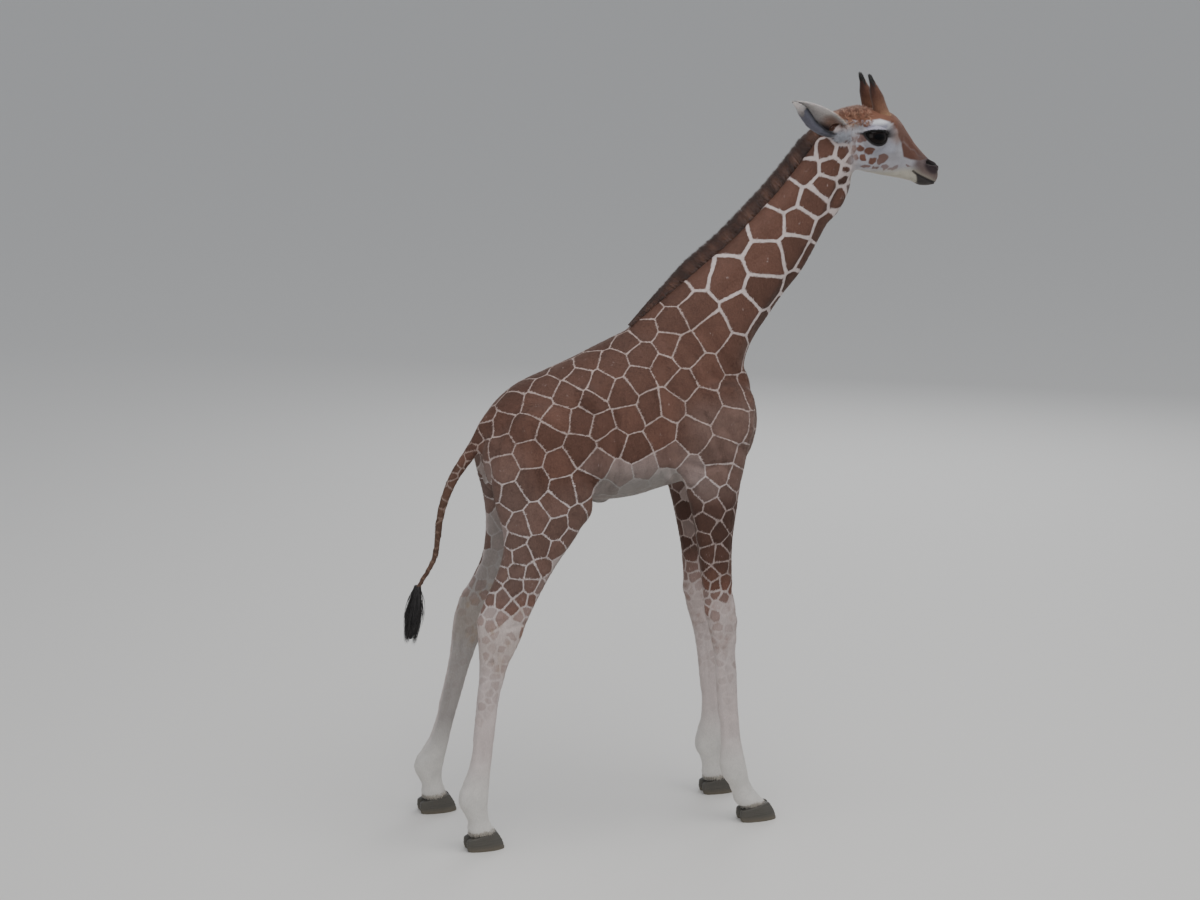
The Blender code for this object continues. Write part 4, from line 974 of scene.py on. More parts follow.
# %% Seeds of the patches
scatter, scatter_up, _, _ = surface_points(skin.data, 26000, 11)
wanted = spacing(scatter)
seeds, reach = np.empty((0, 3)), np.empty(0)
for p, r in zip(scatter, wanted):
    if not len(seeds) or (np.linalg.norm(seeds - p, axis=1) > 0.5 * (reach + r) * 0.86).all():
        seeds, reach = np.vstack([seeds, p]), np.append(reach, r)
for _ in range(2):
    nearest = np.concatenate([np.linalg.norm(part[:, None] - seeds[None], axis=2).argmin(1)
                              for part in np.array_split(scatter, 30)])
    count = np.maximum(np.bincount(nearest, minlength=len(seeds)), 1)
    centres = np.stack([np.bincount(nearest, scatter[:, k], len(seeds)) / count for k in range(3)], 1)
    centres = seeds + 0.75 * (centres - seeds)
    picked = np.array([np.linalg.norm(scatter - c, axis=1).argmin() for c in centres])
    seeds = scatter[picked]
print(len(seeds), "patches seeded")


# %% Classes, so that no two neighbours share one
def seed_distances(p):
    """Distance of each point from every seed, after the walls are bent."""
    q = wandering(wandering(p, 0.110, 0.0050, 5), 0.035, 0.0014, 6)
    return [np.linalg.norm(part[:, None].astype(np.float32) - seeds[None].astype(np.float32), axis=2)
            for part in np.array_split(q, max(len(q) // 2000, 1))]


neighbours = [set() for _ in seeds]
co = coordinates(skin.data)
for part in seed_distances(co):
    three = np.argpartition(part, 3, axis=1)[:, :3]
    for a, b, c in np.unique(np.sort(three, axis=1), axis=0):
        neighbours[a] |= {b, c}
        neighbours[b] |= {a, c}
        neighbours[c] |= {a, b}
classes = np.full(len(seeds), -1)
for i in sorted(range(len(seeds)), key=lambda i: -len(neighbours[i])):
    taken = {classes[j] for j in neighbours[i]}
    classes[i] = next(k for k in range(20) if k not in taken)
CLASSES = int(classes.max()) + 1
tints = np.random.default_rng(21).random(len(seeds))
print(CLASSES, "classes")

# %% [markdown]
# ## Colours over the body
# Two slowly changing colours are stored on the skin: the patch, deep chestnut on the back and
# forearm, darkened on the front of the neck as painted shade, and dusty on the chest and thigh,
# where the dusty upper arm is also partly painted light; and the ground between patches, cream on
# neck and trunk and greyish white on belly and legs. A third value says how far the patches fade out.
# The face is painted the same way from a few named areas.

# %% Colour fields
def rgb(*values):
    """A colour given as it looks on a screen, turned into the light values a shader wants."""
    v = np.array(values) / 255
    return np.where(v < 0.04045, v / 12.92, ((v + 0.055) / 1.055) ** 2.4)


CHESTNUT, DARK_CHESTNUT, DUSTY = rgb(98, 68, 57), rgb(70, 47, 39), rgb(114, 92, 84)
ORANGE, FACE_BROWN, MUZZLE, RUSTY = rgb(122, 80, 61), rgb(107, 72, 61), rgb(100, 82, 79), rgb(118, 80, 66)
CREAM, WARM_CREAM, GREY_WHITE, WHITE = rgb(222, 207, 203), rgb(200, 178, 170), rgb(176, 172, 168), rgb(226, 222, 216)
LEG_PALE, MUD, BLACK_SKIN_AND_SHADE, LID_REFLECTION_GREY = rgb(216, 202, 198), rgb(160, 132, 98), rgb(26, 22, 23), rgb(152, 150, 164)


def area(p, outline, soft):
    """Share inside a closed outline of x, z, with a soft edge."""
    outline = np.array(outline, float)
    inside = np.zeros(len(p), bool)
    best = np.full(len(p), 1e9)
    for a, b in zip(outline, np.roll(outline, -1, axis=0)):
        best = np.minimum(best, to_segment(p, a, b))
        crossing = (a[1] > p[:, 1]) != (b[1] > p[:, 1])
        with np.errstate(divide="ignore", invalid="ignore"):
            at = a[0] + (p[:, 1] - a[1]) * (b[0] - a[0]) / (b[1] - a[1])
        inside ^= crossing & (p[:, 0] < at)
    return step(-soft, soft, np.where(inside, best, -best))


FOREHEAD = ((0.690, 2.040), (0.690, 1.990), (0.742, 1.985), (0.790, 1.988), (0.822, 1.978), (0.842, 1.957),
            (0.850, 1.935), (0.866, 1.915), (0.872, 1.895), (0.880, 1.874), (0.905, 1.865), (0.940, 1.858),
            (0.975, 1.865), (1.030, 1.880), (1.030, 2.040))
NOSE_LINE = ((0.852, 1.934), (0.872, 1.920), (0.897, 1.903), (0.925, 1.884), (0.950, 1.864))
MUZZLE_AREA = ((0.945, 1.905), (0.925, 1.872), (0.918, 1.845), (0.945, 1.818), (1.000, 1.790), (1.050, 1.780), (1.050, 1.900))
CHIN_AREA = ((0.932, 1.824), (0.950, 1.813), (0.975, 1.801), (1.012, 1.788), (1.012, 1.750), (0.950, 1.760), (0.938, 1.800))
# Cheek and jaw spots: x, z, half length, half height, strength
SPOTS = (
    (0.716, 1.932, 0.008, 0.010, 0.7), (0.733, 1.934, 0.008, 0.010, 0.85), (0.716, 1.906, 0.007, 0.012, 0.9),
    (0.733, 1.908, 0.009, 0.011, 1.0), (0.756, 1.899, 0.013, 0.010, 1.0), (0.743, 1.881, 0.009, 0.009, 1.0),
    (0.724, 1.882, 0.007, 0.011, 0.9), (0.772, 1.872, 0.012, 0.011, 1.0), (0.806, 1.873, 0.019, 0.013, 0.9),
    (0.757, 1.853, 0.013, 0.006, 0.8), (0.790, 1.849, 0.014, 0.006, 0.8), (0.824, 1.848, 0.014, 0.006, 0.7),
    (0.854, 1.843, 0.013, 0.006, 0.6), (0.901, 1.850, 0.009, 0.004, 0.7), (0.698, 1.912, 0.007, 0.013, 0.5),
    (0.688, 1.888, 0.008, 0.013, 0.5),
)


def coat_fields(p, n):
    """Colours and masks of the coat at points with normals."""
    part = regions(p, n)
    z, x, y = p[:, 2], p[:, 0], p[:, 1]
    down = step(0.15, 0.75, -n[:, 2])
    top = step(0.35, 0.95, n[:, 2])
    mix = lambda a, b, t: a + (b - a) * t[:, None]
    patch = np.tile(CHESTNUT, (len(p), 1))
    patch = mix(patch, DARK_CHESTNUT, 0.7 * top * (1 - part["head"]))
    # Dusty, paler patches on the upper arm and chest: partly the calf's own dusty coat, partly painted light on the lit
    # muscle.
    chest = step(0.15, 0.27, x) * step(1.27, 1.18, z) * step(0.84, 1.00, z)
    patch = mix(patch, DUSTY, 0.70 * chest)
    thigh_back = step(-0.20, -0.30, x) * step(1.20, 1.05, z) * (1 - part["tail"])
    patch = mix(patch, DUSTY, 0.55 * thigh_back)
    patch = mix(patch, DUSTY, 0.50 * step(1.06, 0.96, z) * step(0.00, -0.10, x) * (1 - part["tail"]))
    patch = mix(patch, DARK_CHESTNUT, 0.80 * part["fore"] * step(0.66, 0.80, z) * step(1.00, 0.92, z))
    patch = mix(patch, RUSTY, np.maximum(part["fore"], part["hind"]) * step(0.76, 0.62, z))
    # Patches on the front and underside of the neck are darkened: painted shade.
    patch = mix(patch, DARK_CHESTNUT, 0.8 * step(0.15, 0.7, n[:, 0] * 0.7 - n[:, 2] * 0.6) * part["neck"])
    patch = mix(patch, rgb(92, 68, 56), part["tail"] * step(1.12, 0.95, z))
    ground = np.tile(CREAM, (len(p), 1))
    ground = mix(ground, WARM_CREAM, step(0.05, 0.9, n[:, 2] + 0.65) * (1 - part["neck"]) * (1 - part["head"]) * step(1.0, 1.1, z))
    # How much of the pattern shows: 1 on the body, 0 on belly, inner legs and below knee and hock.
    inner = np.where(y > 0, -n[:, 1], n[:, 1])
    shows = np.ones(len(p))
    line_at = 1.056 - 0.016 * bell(x - 0.075, 0.09)
    belly = step(0.038, -0.030, z - line_at) * step(0.192, 0.146, x - 0.25 * (z - 1.04)) * step(-0.062, -0.034, x)
    belly = np.maximum(belly, down * step(1.10, 1.02, z) * step(-0.30, -0.20, x) * step(0.42, 0.36, x))
    shows -= 0.74 * belly
    shows *= 1 - 0.20 * part["fore"] * step(0.10, 0.55, inner)
    armpit = bell(np.hypot(x - 0.228, z - 1.020), 0.075, 1.0)
    shows *= 1 - 0.22 * armpit
    shows *= 1 - 0.86 * part["fore"] * step(0.738, 0.570, z)
    shows *= 1 - (0.90 - 0.25 * step(0.90, 0.78, z)) * part["hind"] * step(0.05, 0.50, inner)
    shows *= 1 - 0.86 * part["hind"] * step(0.715, 0.560, z + 0.10 * (x + 0.25))
    shows *= 1 - np.maximum(part["fore"], part["hind"]) * step(0.46, 0.30, z)
    rear = step(0.55, 0.90, -n[:, 0]) * (x < -0.20) * step(1.10, 1.00, z) * step(0.062, 0.030, np.abs(y)) * (1 - part["tail"])
    shows *= 1 - 0.9 * rear
    legs = np.maximum(part["fore"], part["hind"])
    ground = mix(ground, rgb(132, 106, 90), part["tail"] * (0.6 + 0.4 * step(1.1, 0.85, z)))
    ground = mix(ground, LEG_PALE, legs * step(0.95, 0.70, z))
    ground = mix(ground, rgb(160, 140, 132), 0.75 * part["fore"] * step(0.62, 0.74, z))
    ground = mix(ground, rgb(160, 156, 152), np.maximum(belly, part["hind"] * step(0.1, 0.6, inner) * 0.8))
    ground = mix(ground, GREY_WHITE, 0.6 * rear)
    ground = mix(ground, WHITE, legs * step(0.30, 0.14, z))
    blotch = np.zeros(len(p))
    scatter_blotch = np.random.default_rng(77)
    for _ in range(64):
        spot_z = scatter_blotch.uniform(0.50, 0.68)
        hind = scatter_blotch.random() < 0.5
        spot_x = scatter_blotch.uniform(-0.40, -0.25) if hind else scatter_blotch.uniform(0.27, 0.39)
        wide = scatter_blotch.uniform(0.006, 0.013)
        blotch = np.maximum(blotch, bell(np.hypot(x - spot_x, (z - spot_z) / 1.5), wide) * scatter_blotch.uniform(0.3, 1.0))
    ground = mix(ground, MUD, 0.65 * part["hind"] * (0.25 * bell(z - 0.585, 0.085, 1.0) + 0.75 * blotch))
    ground = mix(ground, rgb(150, 116, 102), 0.55 * part["fore"] * (0.2 * bell(z - 0.60, 0.085, 1.0) + 0.8 * blotch))
    # Painted face, in the frame of the straight head.
    s = unturned(p)
    side = s[:, [0, 2]]
    w = wandering(wandering(s, 0.034, 0.0050, 91), 0.015, 0.0022, 92)
    head = part["head"]
    brown = area(side, FOREHEAD, 0.0028)
    crown = step(0.006, 0.018, s[:, 2] - 1.975 - 0.10 * (s[:, 0] - 0.70)) * step(0.86, 0.80, s[:, 0])
    brown = np.maximum(brown, crown)
    line = np.min([to_segment(w[:, [0, 2]], a, b) for a, b in zip(NOSE_LINE, NOSE_LINE[1:])], axis=0)
    brown = brown * (1 - 0.13 * bell(line, 0.0038, 1.0))
    muzzle = area(side, MUZZLE_AREA, 0.014)
    chin = area(side, CHIN_AREA, 0.003)
    spots = np.zeros(len(p))
    for sx, sz, long, tall, strength in SPOTS:
        d = np.hypot((w[:, 0] - sx) / long, (w[:, 2] - sz) / tall) / 1.06
        spots = np.maximum(spots, strength * step(1.14, 0.86, d))
    spots *= step(0.2, 0.5, np.abs(n[:, 1]))
    face_ground = np.tile(rgb(178, 176, 182), (len(p), 1))
    # The brow is whiter: partly the face's own pale hair, partly painted light on the top of the brow.
    pale_and_lit_brow = bell(np.hypot((s[:, 0] - 0.785) / 1.7, s[:, 2] - 1.972), 0.030, 1.0)
    face_ground = mix(face_ground, rgb(228, 228, 234), pale_and_lit_brow)
    # Painted shade on the cheek below the eye, darker and bluer, as the cheek faces away from the light above.
    cheek_shade = bell(np.hypot((s[:, 0] - 0.80) / 2.2, s[:, 2] - 1.905), 0.030, 1.0)
    face_ground = mix(face_ground, rgb(160, 162, 174), 0.7 * cheek_shade)
    # The underside of the jaw is warmer and paler: partly its own pale hair, partly painted light.
    face_ground = mix(face_ground, rgb(186, 180, 166), step(1.850, 1.825, s[:, 2]))
    face_patch = mix(np.tile(FACE_BROWN, (len(p), 1)), ORANGE, step(0.90, 0.80, s[:, 0]) * step(1.95, 1.99, s[:, 2]))
    tan = bell(np.hypot(s[:, 0] - 0.850, (s[:, 2] - 1.946) / 1.7), 0.024, 1.0)
    painted = mix(face_ground, rgb(150, 116, 98), 0.75 * tan)
    painted = mix(painted, rgb(116, 80, 68), spots)
    painted = mix(painted, face_patch, brown)
    painted = mix(painted, MUZZLE, 0.92 * muzzle * (1 - 0.4 * brown))
    painted = mix(painted, rgb(44, 39, 41), 0.95 * chin)
    nose_x, nose_z = s[:, 0] - 0.983, s[:, 2] - 1.842
    nose_dark = np.hypot((nose_x * 0.88 - nose_z * 0.47) / 0.031, (nose_x * 0.47 + nose_z * 0.88) / 0.022)
    painted = mix(painted, rgb(50, 38, 43), 0.95 * step(1.32, 0.72, nose_dark))
    patch = mix(patch, painted, head)
    ground = mix(ground, painted, head)
    return {"patch": patch, "ground": ground, "shows": shows * (1 - head)}


def line_width(p):
    """Half the width of a pale line, in metres."""
    neck = step(-0.05, 0.15, (p[:, 0] - 0.29) * 0.724 + (p[:, 2] - 1.43) * 0.69)
    low = step(0.80, 0.62, p[:, 2])
    return 0.0015 + 0.0029 * neck + 0.0010 * low


# %% Writing the fields on the skin
def store(mesh, name, kind, values):
    slot = mesh.attributes.get(name) or mesh.attributes.new(name, kind, "POINT")
    if kind == "FLOAT":
        slot.data.foreach_set("value", np.ascontiguousarray(values, np.float32))
    elif kind == "FLOAT_VECTOR":
        slot.data.foreach_set("vector", np.ascontiguousarray(values, np.float32).ravel())
    else:
        four = np.ones((len(values), 4), np.float32)
        four[:, :3] = values
        slot.data.foreach_set("color", four.ravel())


# A patch is dark or faded as a whole, by where its middle lies.
seed_shows = coat_fields(seeds, scatter_up[picked])["shows"]
uneven = np.random.default_rng(23).normal(size=len(seeds))
seed_shows = np.clip(seed_shows + np.where(seeds[:, 2] > 0.95, 0.08, 0.24) * uneven * seed_shows * (1 - seed_shows) * 4, 0, 1)
co, normal = coordinates(skin.data), normals_of(skin.data)
fields = coat_fields(co, normal)
parts = seed_distances(co)
for k in range(CLASSES):
    members = np.flatnonzero(classes == k)
    reach_k, which_k = [], []
    for part in parts:
        own = part[:, members]
        best = own.argmin(1)
        reach_k.append(own[np.arange(len(own)), best])
        which_k.append(members[best])
    reach_k, which_k = np.concatenate(reach_k), np.concatenate(which_k)
    store(skin.data, f"class_{k}", "FLOAT_VECTOR", np.stack([reach_k, tints[which_k], seed_shows[which_k]], 1))
# Dark: the black skin round the eyes, with some painted shadow at their front corners, and painted shade in the nostril
# pits and the mouth groove.
dark = np.maximum(eye_dark, np.maximum(np.clip(nostril_pit * 1.6, 0, 1), np.clip(mouth_cut * 1.2, 0, 1) * 0.7))
store(skin.data, "patch", "FLOAT_COLOR", fields["patch"])
store(skin.data, "ground", "FLOAT_COLOR", fields["ground"])
store(skin.data, "line", "FLOAT", line_width(co))
store(skin.data, "dark", "FLOAT", dark)
store(skin.data, "lid", "FLOAT", lid_reflection)
print("fields stored on", len(co), "points")

# %% [markdown]
# ## Shader groups
# The patch group finds the nearest and second nearest class, and so the edge and tint of the
# patch. The coat group turns an edge into colour, with a ragged hairy border and a fine grain.
# Skin and tufts use the same coat group, so their markings agree.

# %% Patch group
patch_group, inside, outside = node_group("patch_field", (), (("Edge", FLOAT), ("Tint", FLOAT), ("Centre", FLOAT), ("Shows", FLOAT)))
first = second = tint = own = None
for k in range(CLASSES):
    parts_of = node(patch_group, "ShaderNodeSeparateXYZ")
    wire(patch_group, attribute(patch_group, f"class_{k}").outputs["Vector"], parts_of.inputs[0])
    here = parts_of.outputs[0]
    if first is None:
        first, tint, own = parts_of.outputs
        continue
    closer = maths(patch_group, "LESS_THAN", here, first)
    larger = maths(patch_group, "MAXIMUM", here, first)
    second = larger if second is None else maths(patch_group, "MINIMUM", second, larger)
    first = maths(patch_group, "MINIMUM", here, first)
    tint, own = (maths(patch_group, "MULTIPLY_ADD", closer, maths(patch_group, "SUBTRACT", new, old), old)
                 for new, old in ((parts_of.outputs[1], tint), (parts_of.outputs[2], own)))
wire(patch_group, maths(patch_group, "MULTIPLY", maths(patch_group, "SUBTRACT", second, first), 0.5), outside.inputs["Edge"])
wire(patch_group, tint, outside.inputs["Tint"])
wire(patch_group, first, outside.inputs["Centre"])
wire(patch_group, own, outside.inputs["Shows"])

# %% Coat group
coat_group, inside, outside = node_group("coat_colour", (
    ("Edge", FLOAT, 0.02), ("Tint", FLOAT, 0.5), ("Line", FLOAT, 0.004), ("Shows", FLOAT, 1.0),
    ("Patch", COLOUR, (0.2, 0.1, 0.06, 1)), ("Ground", COLOUR, (0.6, 0.5, 0.4, 1)),
    ("Dark", FLOAT, 0.0), ("Centre", FLOAT, 0.03)), (("Color", COLOUR), ("Height", FLOAT)))
t = coat_group
fine = noise(t, stretched(t, 1, 1, 0.35), 420.0, 2.0, 0.6)
strand = noise(t, stretched(t, 1, 1, 0.16), 900.0, 1.0, 0.5)
broad = noise(t, stretched(t, 1, 1, 1), 26.0, 3.0, 0.55)
ragged = maths(t, "MULTIPLY_ADD", maths(t, "SUBTRACT", fine, 0.5), 0.0026,
               maths(t, "MULTIPLY", maths(t, "SUBTRACT", noise(t, stretched(t, 1, 1, 0.6), 130.0, 2.0), 0.5), 0.0030))
edge = maths(t, "ADD", inside.outputs["Edge"], ragged)
low = maths(t, "SUBTRACT", inside.outputs["Line"], 0.0010)
high = maths(t, "ADD", inside.outputs["Line"], 0.0011)
mask = maths(t, "MULTIPLY", ranged(t, edge, low, high), inside.outputs["Shows"])
speck = maths(t, "MULTIPLY", maths(t, "MULTIPLY", ranged(t, inside.outputs["Centre"], 0.009, 0.003), ranged(t, inside.outputs["Tint"], 0.45, 0.55)),
              ranged(t, noise(t, stretched(t, 1, 1, 0.5), 240.0, 2.0), 0.56, 0.68))
mask = maths(t, "MULTIPLY", mask, maths(t, "SUBTRACT", 1.0, maths(t, "MULTIPLY", speck, 0.55)))
tone = maths(t, "MULTIPLY_ADD", inside.outputs["Tint"], 0.34, 0.83)
tone = maths(t, "MULTIPLY", tone, maths(t, "MULTIPLY_ADD", broad, 0.42, 0.79))
rim = ranged(t, edge, low, maths(t, "ADD", inside.outputs["Line"], 0.009), 0.86, 1.0)
tone = maths(t, "MULTIPLY", tone, rim)
grain = maths(t, "MULTIPLY_ADD", maths(t, "ADD", fine, strand), 0.46, 0.54)
hue = node(t, "ShaderNodeCombineColor")
for k in range(3):
    wire(t, maths(t, "MULTIPLY", tone, grain), hue.inputs[k])
brown = mixed(t, 1.0, inside.outputs["Patch"], hue.outputs[0], "MULTIPLY")
pale_grain = node(t, "ShaderNodeCombineColor")
for k in range(3):
    wire(t, maths(t, "MULTIPLY_ADD", maths(t, "MULTIPLY_ADD", grain, 0.5, maths(t, "MULTIPLY", broad, 0.3)), 0.8, 0.28), pale_grain.inputs[k])
cream = mixed(t, 1.0, inside.outputs["Ground"], pale_grain.outputs[0], "MULTIPLY")
colour = mixed(t, mask, cream, brown)
# Dark parts: black skin, and painted shade in nostrils and mouth.
colour = mixed(t, inside.outputs["Dark"], colour, (*BLACK_SKIN_AND_SHADE, 1))
wire(t, colour, outside.inputs["Color"])
wire(t, maths(t, "ADD", maths(t, "MULTIPLY", fine, 0.6), maths(t, "MULTIPLY", strand, 0.4)), outside.inputs["Height"])


def coat_material(name, bump, **settings):
    """Coat that reads the stored fields. The skin's edge comes from its classes, a tuft's from its root."""
    made, tree, shader = new_material(name, **settings)
    group = node(tree, "ShaderNodeGroup", node_tree=coat_group)
    if bump:
        field = node(tree, "ShaderNodeGroup", node_tree=patch_group)
        for key in ("Edge", "Tint", "Centre", "Shows"):
            wire(tree, field.outputs[key], group.inputs[key])
    else:
        for key in ("Edge", "Tint", "Centre", "Shows"):
            wire(tree, attribute(tree, key.lower()).outputs["Fac"], group.inputs[key])
    for key in ("Line", "Dark"):
        wire(tree, attribute(tree, key.lower()).outputs["Fac"], group.inputs[key])
    for key in ("Patch", "Ground"):
        wire(tree, attribute(tree, key.lower()).outputs["Color"], group.inputs[key])
    return made, tree, shader, group


coat, tree, shader, group = coat_material("short_coat", True, Roughness=0.72, Specular_IOR_Level=0.28,
                                          Sheen_Weight=0.18, Sheen_Roughness=0.45)
shader.inputs["Sheen Tint"].default_value = (0.85, 0.72, 0.62, 1)
# The pale violet-grey band on the upper lid is a painted reflection of the sky.
lid_reflection_mask = attribute(tree, "lid").outputs["Fac"]
skin_colour = mixed(tree, maths(tree, "MULTIPLY", ranged(tree, lid_reflection_mask, 0.10, 0.95), maths(tree, "SUBTRACT", 1.0, attribute(tree, "dark").outputs["Fac"])),
                    group.outputs["Color"], (*LID_REFLECTION_GREY, 1))
wire(tree, skin_colour, shader.inputs["Base Color"])
wire(tree, maths(tree, "MULTIPLY_ADD", attribute(tree, "dark").outputs["Fac"], -0.32, 0.74), shader.inputs["Roughness"])
bump = node(tree, "ShaderNodeBump")
bump.inputs["Strength"].default_value = 0.55
bump.inputs["Distance"].default_value = 0.0016
wire(tree, group.outputs["Height"], bump.inputs["Height"])
wire(tree, bump.outputs["Normal"], shader.inputs["Normal"])
skin.data.materials.clear()
skin.data.materials.append(coat)
print("coat material with", CLASSES, "class fields")


# %% [markdown]
# ## Placing finished pieces
# A finished piece keeps its place in its mesh, so its object stays at the origin. The working
# frame's shift goes into the points.

# %% Publishing helper
def publish(thing, slot, *nodes):
    """Shifts a piece into the model's frame and says what it rides on and stands for."""
    set_coordinates(thing.data, coordinates(thing.data) + np.array(SHIFT))
    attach(thing, "root")
    if nodes:
        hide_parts(*nodes)


def smooth(mesh):
    mesh.polygons.foreach_set("use_smooth", np.ones(len(mesh.polygons), bool))
    mesh.update()


def unwrap(thing):
    """An unwrap of the piece's own shape, used when its colours are baked."""
    thing.data.uv_layers.new(name="OFBake")
    bpy.context.view_layer.objects.active = thing
    for other in bpy.context.selected_objects:
        other.select_set(False)
    thing.select_set(True)
    bpy.ops.object.mode_set(mode="EDIT")
    bpy.ops.mesh.select_all(action="SELECT")
    bpy.ops.uv.smart_project(angle_limit=math.radians(62), island_margin=0.002)
    bpy.ops.object.mode_set(mode="OBJECT")
    thing.select_set(False)


smooth(skin.data)
unwrap(skin)
skin_uv = np.empty(len(skin.data.loops) * 2)
skin.data.uv_layers["OFBake"].data.foreach_get("uv", skin_uv)
skin_uv = skin_uv.reshape(-1, 2)
print("skin unwrapped:", len(skin.data.polygons), "faces")

# %% [markdown]
# ## Locks of hair
# All hair is mesh. A lock is a closed, tapering strip with a three-cornered section: a flat back
# and a low keel. Short coat needs only a root and a point, a mane lock has more sections and a
# bend. Thousands of them are written at once as arrays and joined in one mesh. The shading
# normals come from the skin below, so short hair shades like the body it covers.

# %% Lock builder
def unit(v):
    return v / np.maximum(np.linalg.norm(v, axis=-1, keepdims=True), 1e-9)


def per_lock(value, count):
    return np.broadcast_to(np.asarray(value, float), (count,)).copy()


def locks(name, root, along, up, length, width, bend=0.0, sections=1, keel=0.30, taper=1.0, uv=None, soft=None):
    """A joined mesh of closed locks. Bend is a vector a lock's point is carried by. Returns object and lock numbers."""
    count = len(root)
    length, width = per_lock(length, count)[:, None], per_lock(width, count)[:, None]
    along = unit(along)
    side = unit(np.cross(along, up))
    rise = np.cross(side, along)
    bend = np.zeros((count, 3)) + bend
    rows = []
    for i in range(sections):
        t = i / sections
        centre = root + along * length * t + bend * t * t
        half = width / 2 * (1 - t ** 1.5 * 0.75) * (0.75 if i == 0 and sections > 1 else 1) * taper
        rows.append(np.stack([centre + side * half, centre - side * half, centre + rise * half * 2 * keel], 1))
    tip = (root + along * length + bend)[:, None]
    points = np.concatenate(rows + [tip], 1)
    each = points.shape[1]
    faces = [(0, 2, 1)]
    for i in range(sections - 1):
        a, b = 3 * i, 3 * i + 3
        for j, k in ((0, 1), (1, 2), (2, 0)):
            faces += [(a + j, a + k, b + k), (a + j, b + k, b + j)]
    last = 3 * (sections - 1)
    faces += [(last + j, last + k, each - 1) for j, k in ((0, 1), (1, 2), (2, 0))]
    table = (np.array(faces)[None] + each * np.arange(count)[:, None, None]).reshape(-1, 3)
    mesh = bpy.data.meshes.new(name)
    mesh.vertices.add(count * each)
    mesh.vertices.foreach_set("co", points.ravel())
    mesh.loops.add(len(table) * 3)
    mesh.loops.foreach_set("vertex_index", table.astype(np.int32).ravel())
    mesh.polygons.add(len(table))
    mesh.polygons.foreach_set("loop_start", np.arange(0, len(table) * 3, 3, dtype=np.int32))
    mesh.update(calc_edges=True)
    # Each lock is a small patch of the bake, at its root's place on the skin's unwrap.
    if uv is not None:
        spot = np.stack([np.arange(each) % 3 / 2, np.arange(each) / max(each - 1, 1)], 1) * 0.003
        corner = (uv[:, None, :] + spot[None]).reshape(-1, 2)[table.ravel()]
        mesh.uv_layers.new(name="OFBake").data.foreach_set("uv", corner.astype(np.float32).ravel())
    smooth(mesh)
    if soft is not None:
        lean = unit(soft[:, None, :] + 0.35 * unit(points - points.mean(1, keepdims=True)))
        mesh.normals_split_custom_set_from_vertices(lean.reshape(-1, 3))
    made = bpy.data.objects.new(name, mesh)
    bpy.context.scene.collection.objects.link(made)
    return made, np.repeat(np.arange(count), each), each


# %% The lie of the coat
def lie(p, n):
    """Direction in which the hair lies: back and down on the trunk, down neck and legs, to the nose on the face."""
    part = regions(p, n)
    flow = np.tile([-1.0, 0.0, -0.38], (len(p), 1))
    for share, way in ((part["neck"], (-0.62, 0.0, -0.78)), (part["tail"], (-0.35, 0.0, -1.0)),
                       (np.maximum(part["fore"], part["hind"]), (-0.16, 0.0, -1.0)), (part["head"], (0.80, 0.0, -0.60))):
        flow = flow + (np.array(way) - flow) * share[:, None]
    behind_eye = part["head"] * step(0.76, 0.72, unturned(p)[:, 0])
    flow += (np.array((-0.5, 0.0, -0.85)) - flow) * behind_eye[:, None]
    flow = flow + 0.16 * (wandering(p, 0.16, 1.0, 31) - p) + 0.10 * (wandering(p, 0.05, 1.0, 32) - p)
    return unit(flow - n * (flow * n).sum(1)[:, None])


print("hair at the withers lies along", lie(np.array([[0.1, 0.0, 1.43]]), np.array([[0.0, 0.0, 1.0]]))[0].round(2))

# %% [markdown]
# ## Short coat
# The coat of a calf is short and dense. Bump gives its grain everywhere. Over it lie fine tufts,
# longest on neck and trunk and shortest on face and feet, with their roots in the skin and their
# points at the outline. Each keeps the pattern found at its root, so the border of a patch is
# drawn by hair tips. They leave eyes, lips and nostrils bare.

# %% Roots of the coat
COAT_TUFTS, COAT_PIECES = 250000, 6


def tuft_density(p):
    s = unturned(p)
    on_face = (s[:, 0] > 0.69) & (p[:, 2] > 1.77)
    bare = np.minimum(to_eyes(p) / 0.045, 1) ** 2
    return np.where(on_face, 2.3 * bare, np.where(p[:, 2] < 0.62, 1.25, 1.0))


roots, upward, corners, shares = surface_points(skin.data, COAT_TUFTS, 41, tuft_density)
root_uv = (skin_uv[corners] * shares[:, :, None]).sum(1)
root_corner = np.empty(len(skin.data.loops), np.int32)
skin.data.loops.foreach_get("vertex_index", root_corner)
at_points = root_corner[corners]
bare_skin = ((dark + lid_reflection)[at_points] * shares).sum(1)
keep = bare_skin < 0.25
roots, upward, root_uv = roots[keep], upward[keep], root_uv[keep]
order = np.argsort(roots[:, 2] + 0.3 * roots[:, 0])
roots, upward, root_uv = roots[order], upward[order], root_uv[order]
print(len(roots), "tufts of short coat")


# %% Pattern under each root
def pattern_at(p):
    """Edge, tint, share shown and distance to the middle of the patch at points."""
    edge, nearest, centre = [], [], []
    for part in seed_distances(p):
        two = np.argpartition(part, 2, axis=1)[:, :2]
        near_two = np.take_along_axis(part, two, 1)
        first = two[np.arange(len(two)), near_two.argmin(1)]
        edge.append((near_two.max(1) - near_two.min(1)) / 2)
        nearest.append(first)
        centre.append(near_two.min(1))
    nearest = np.concatenate(nearest)
    return {"edge": np.concatenate(edge), "tint": tints[nearest], "shows": seed_shows[nearest],
            "centre": np.concatenate(centre)}


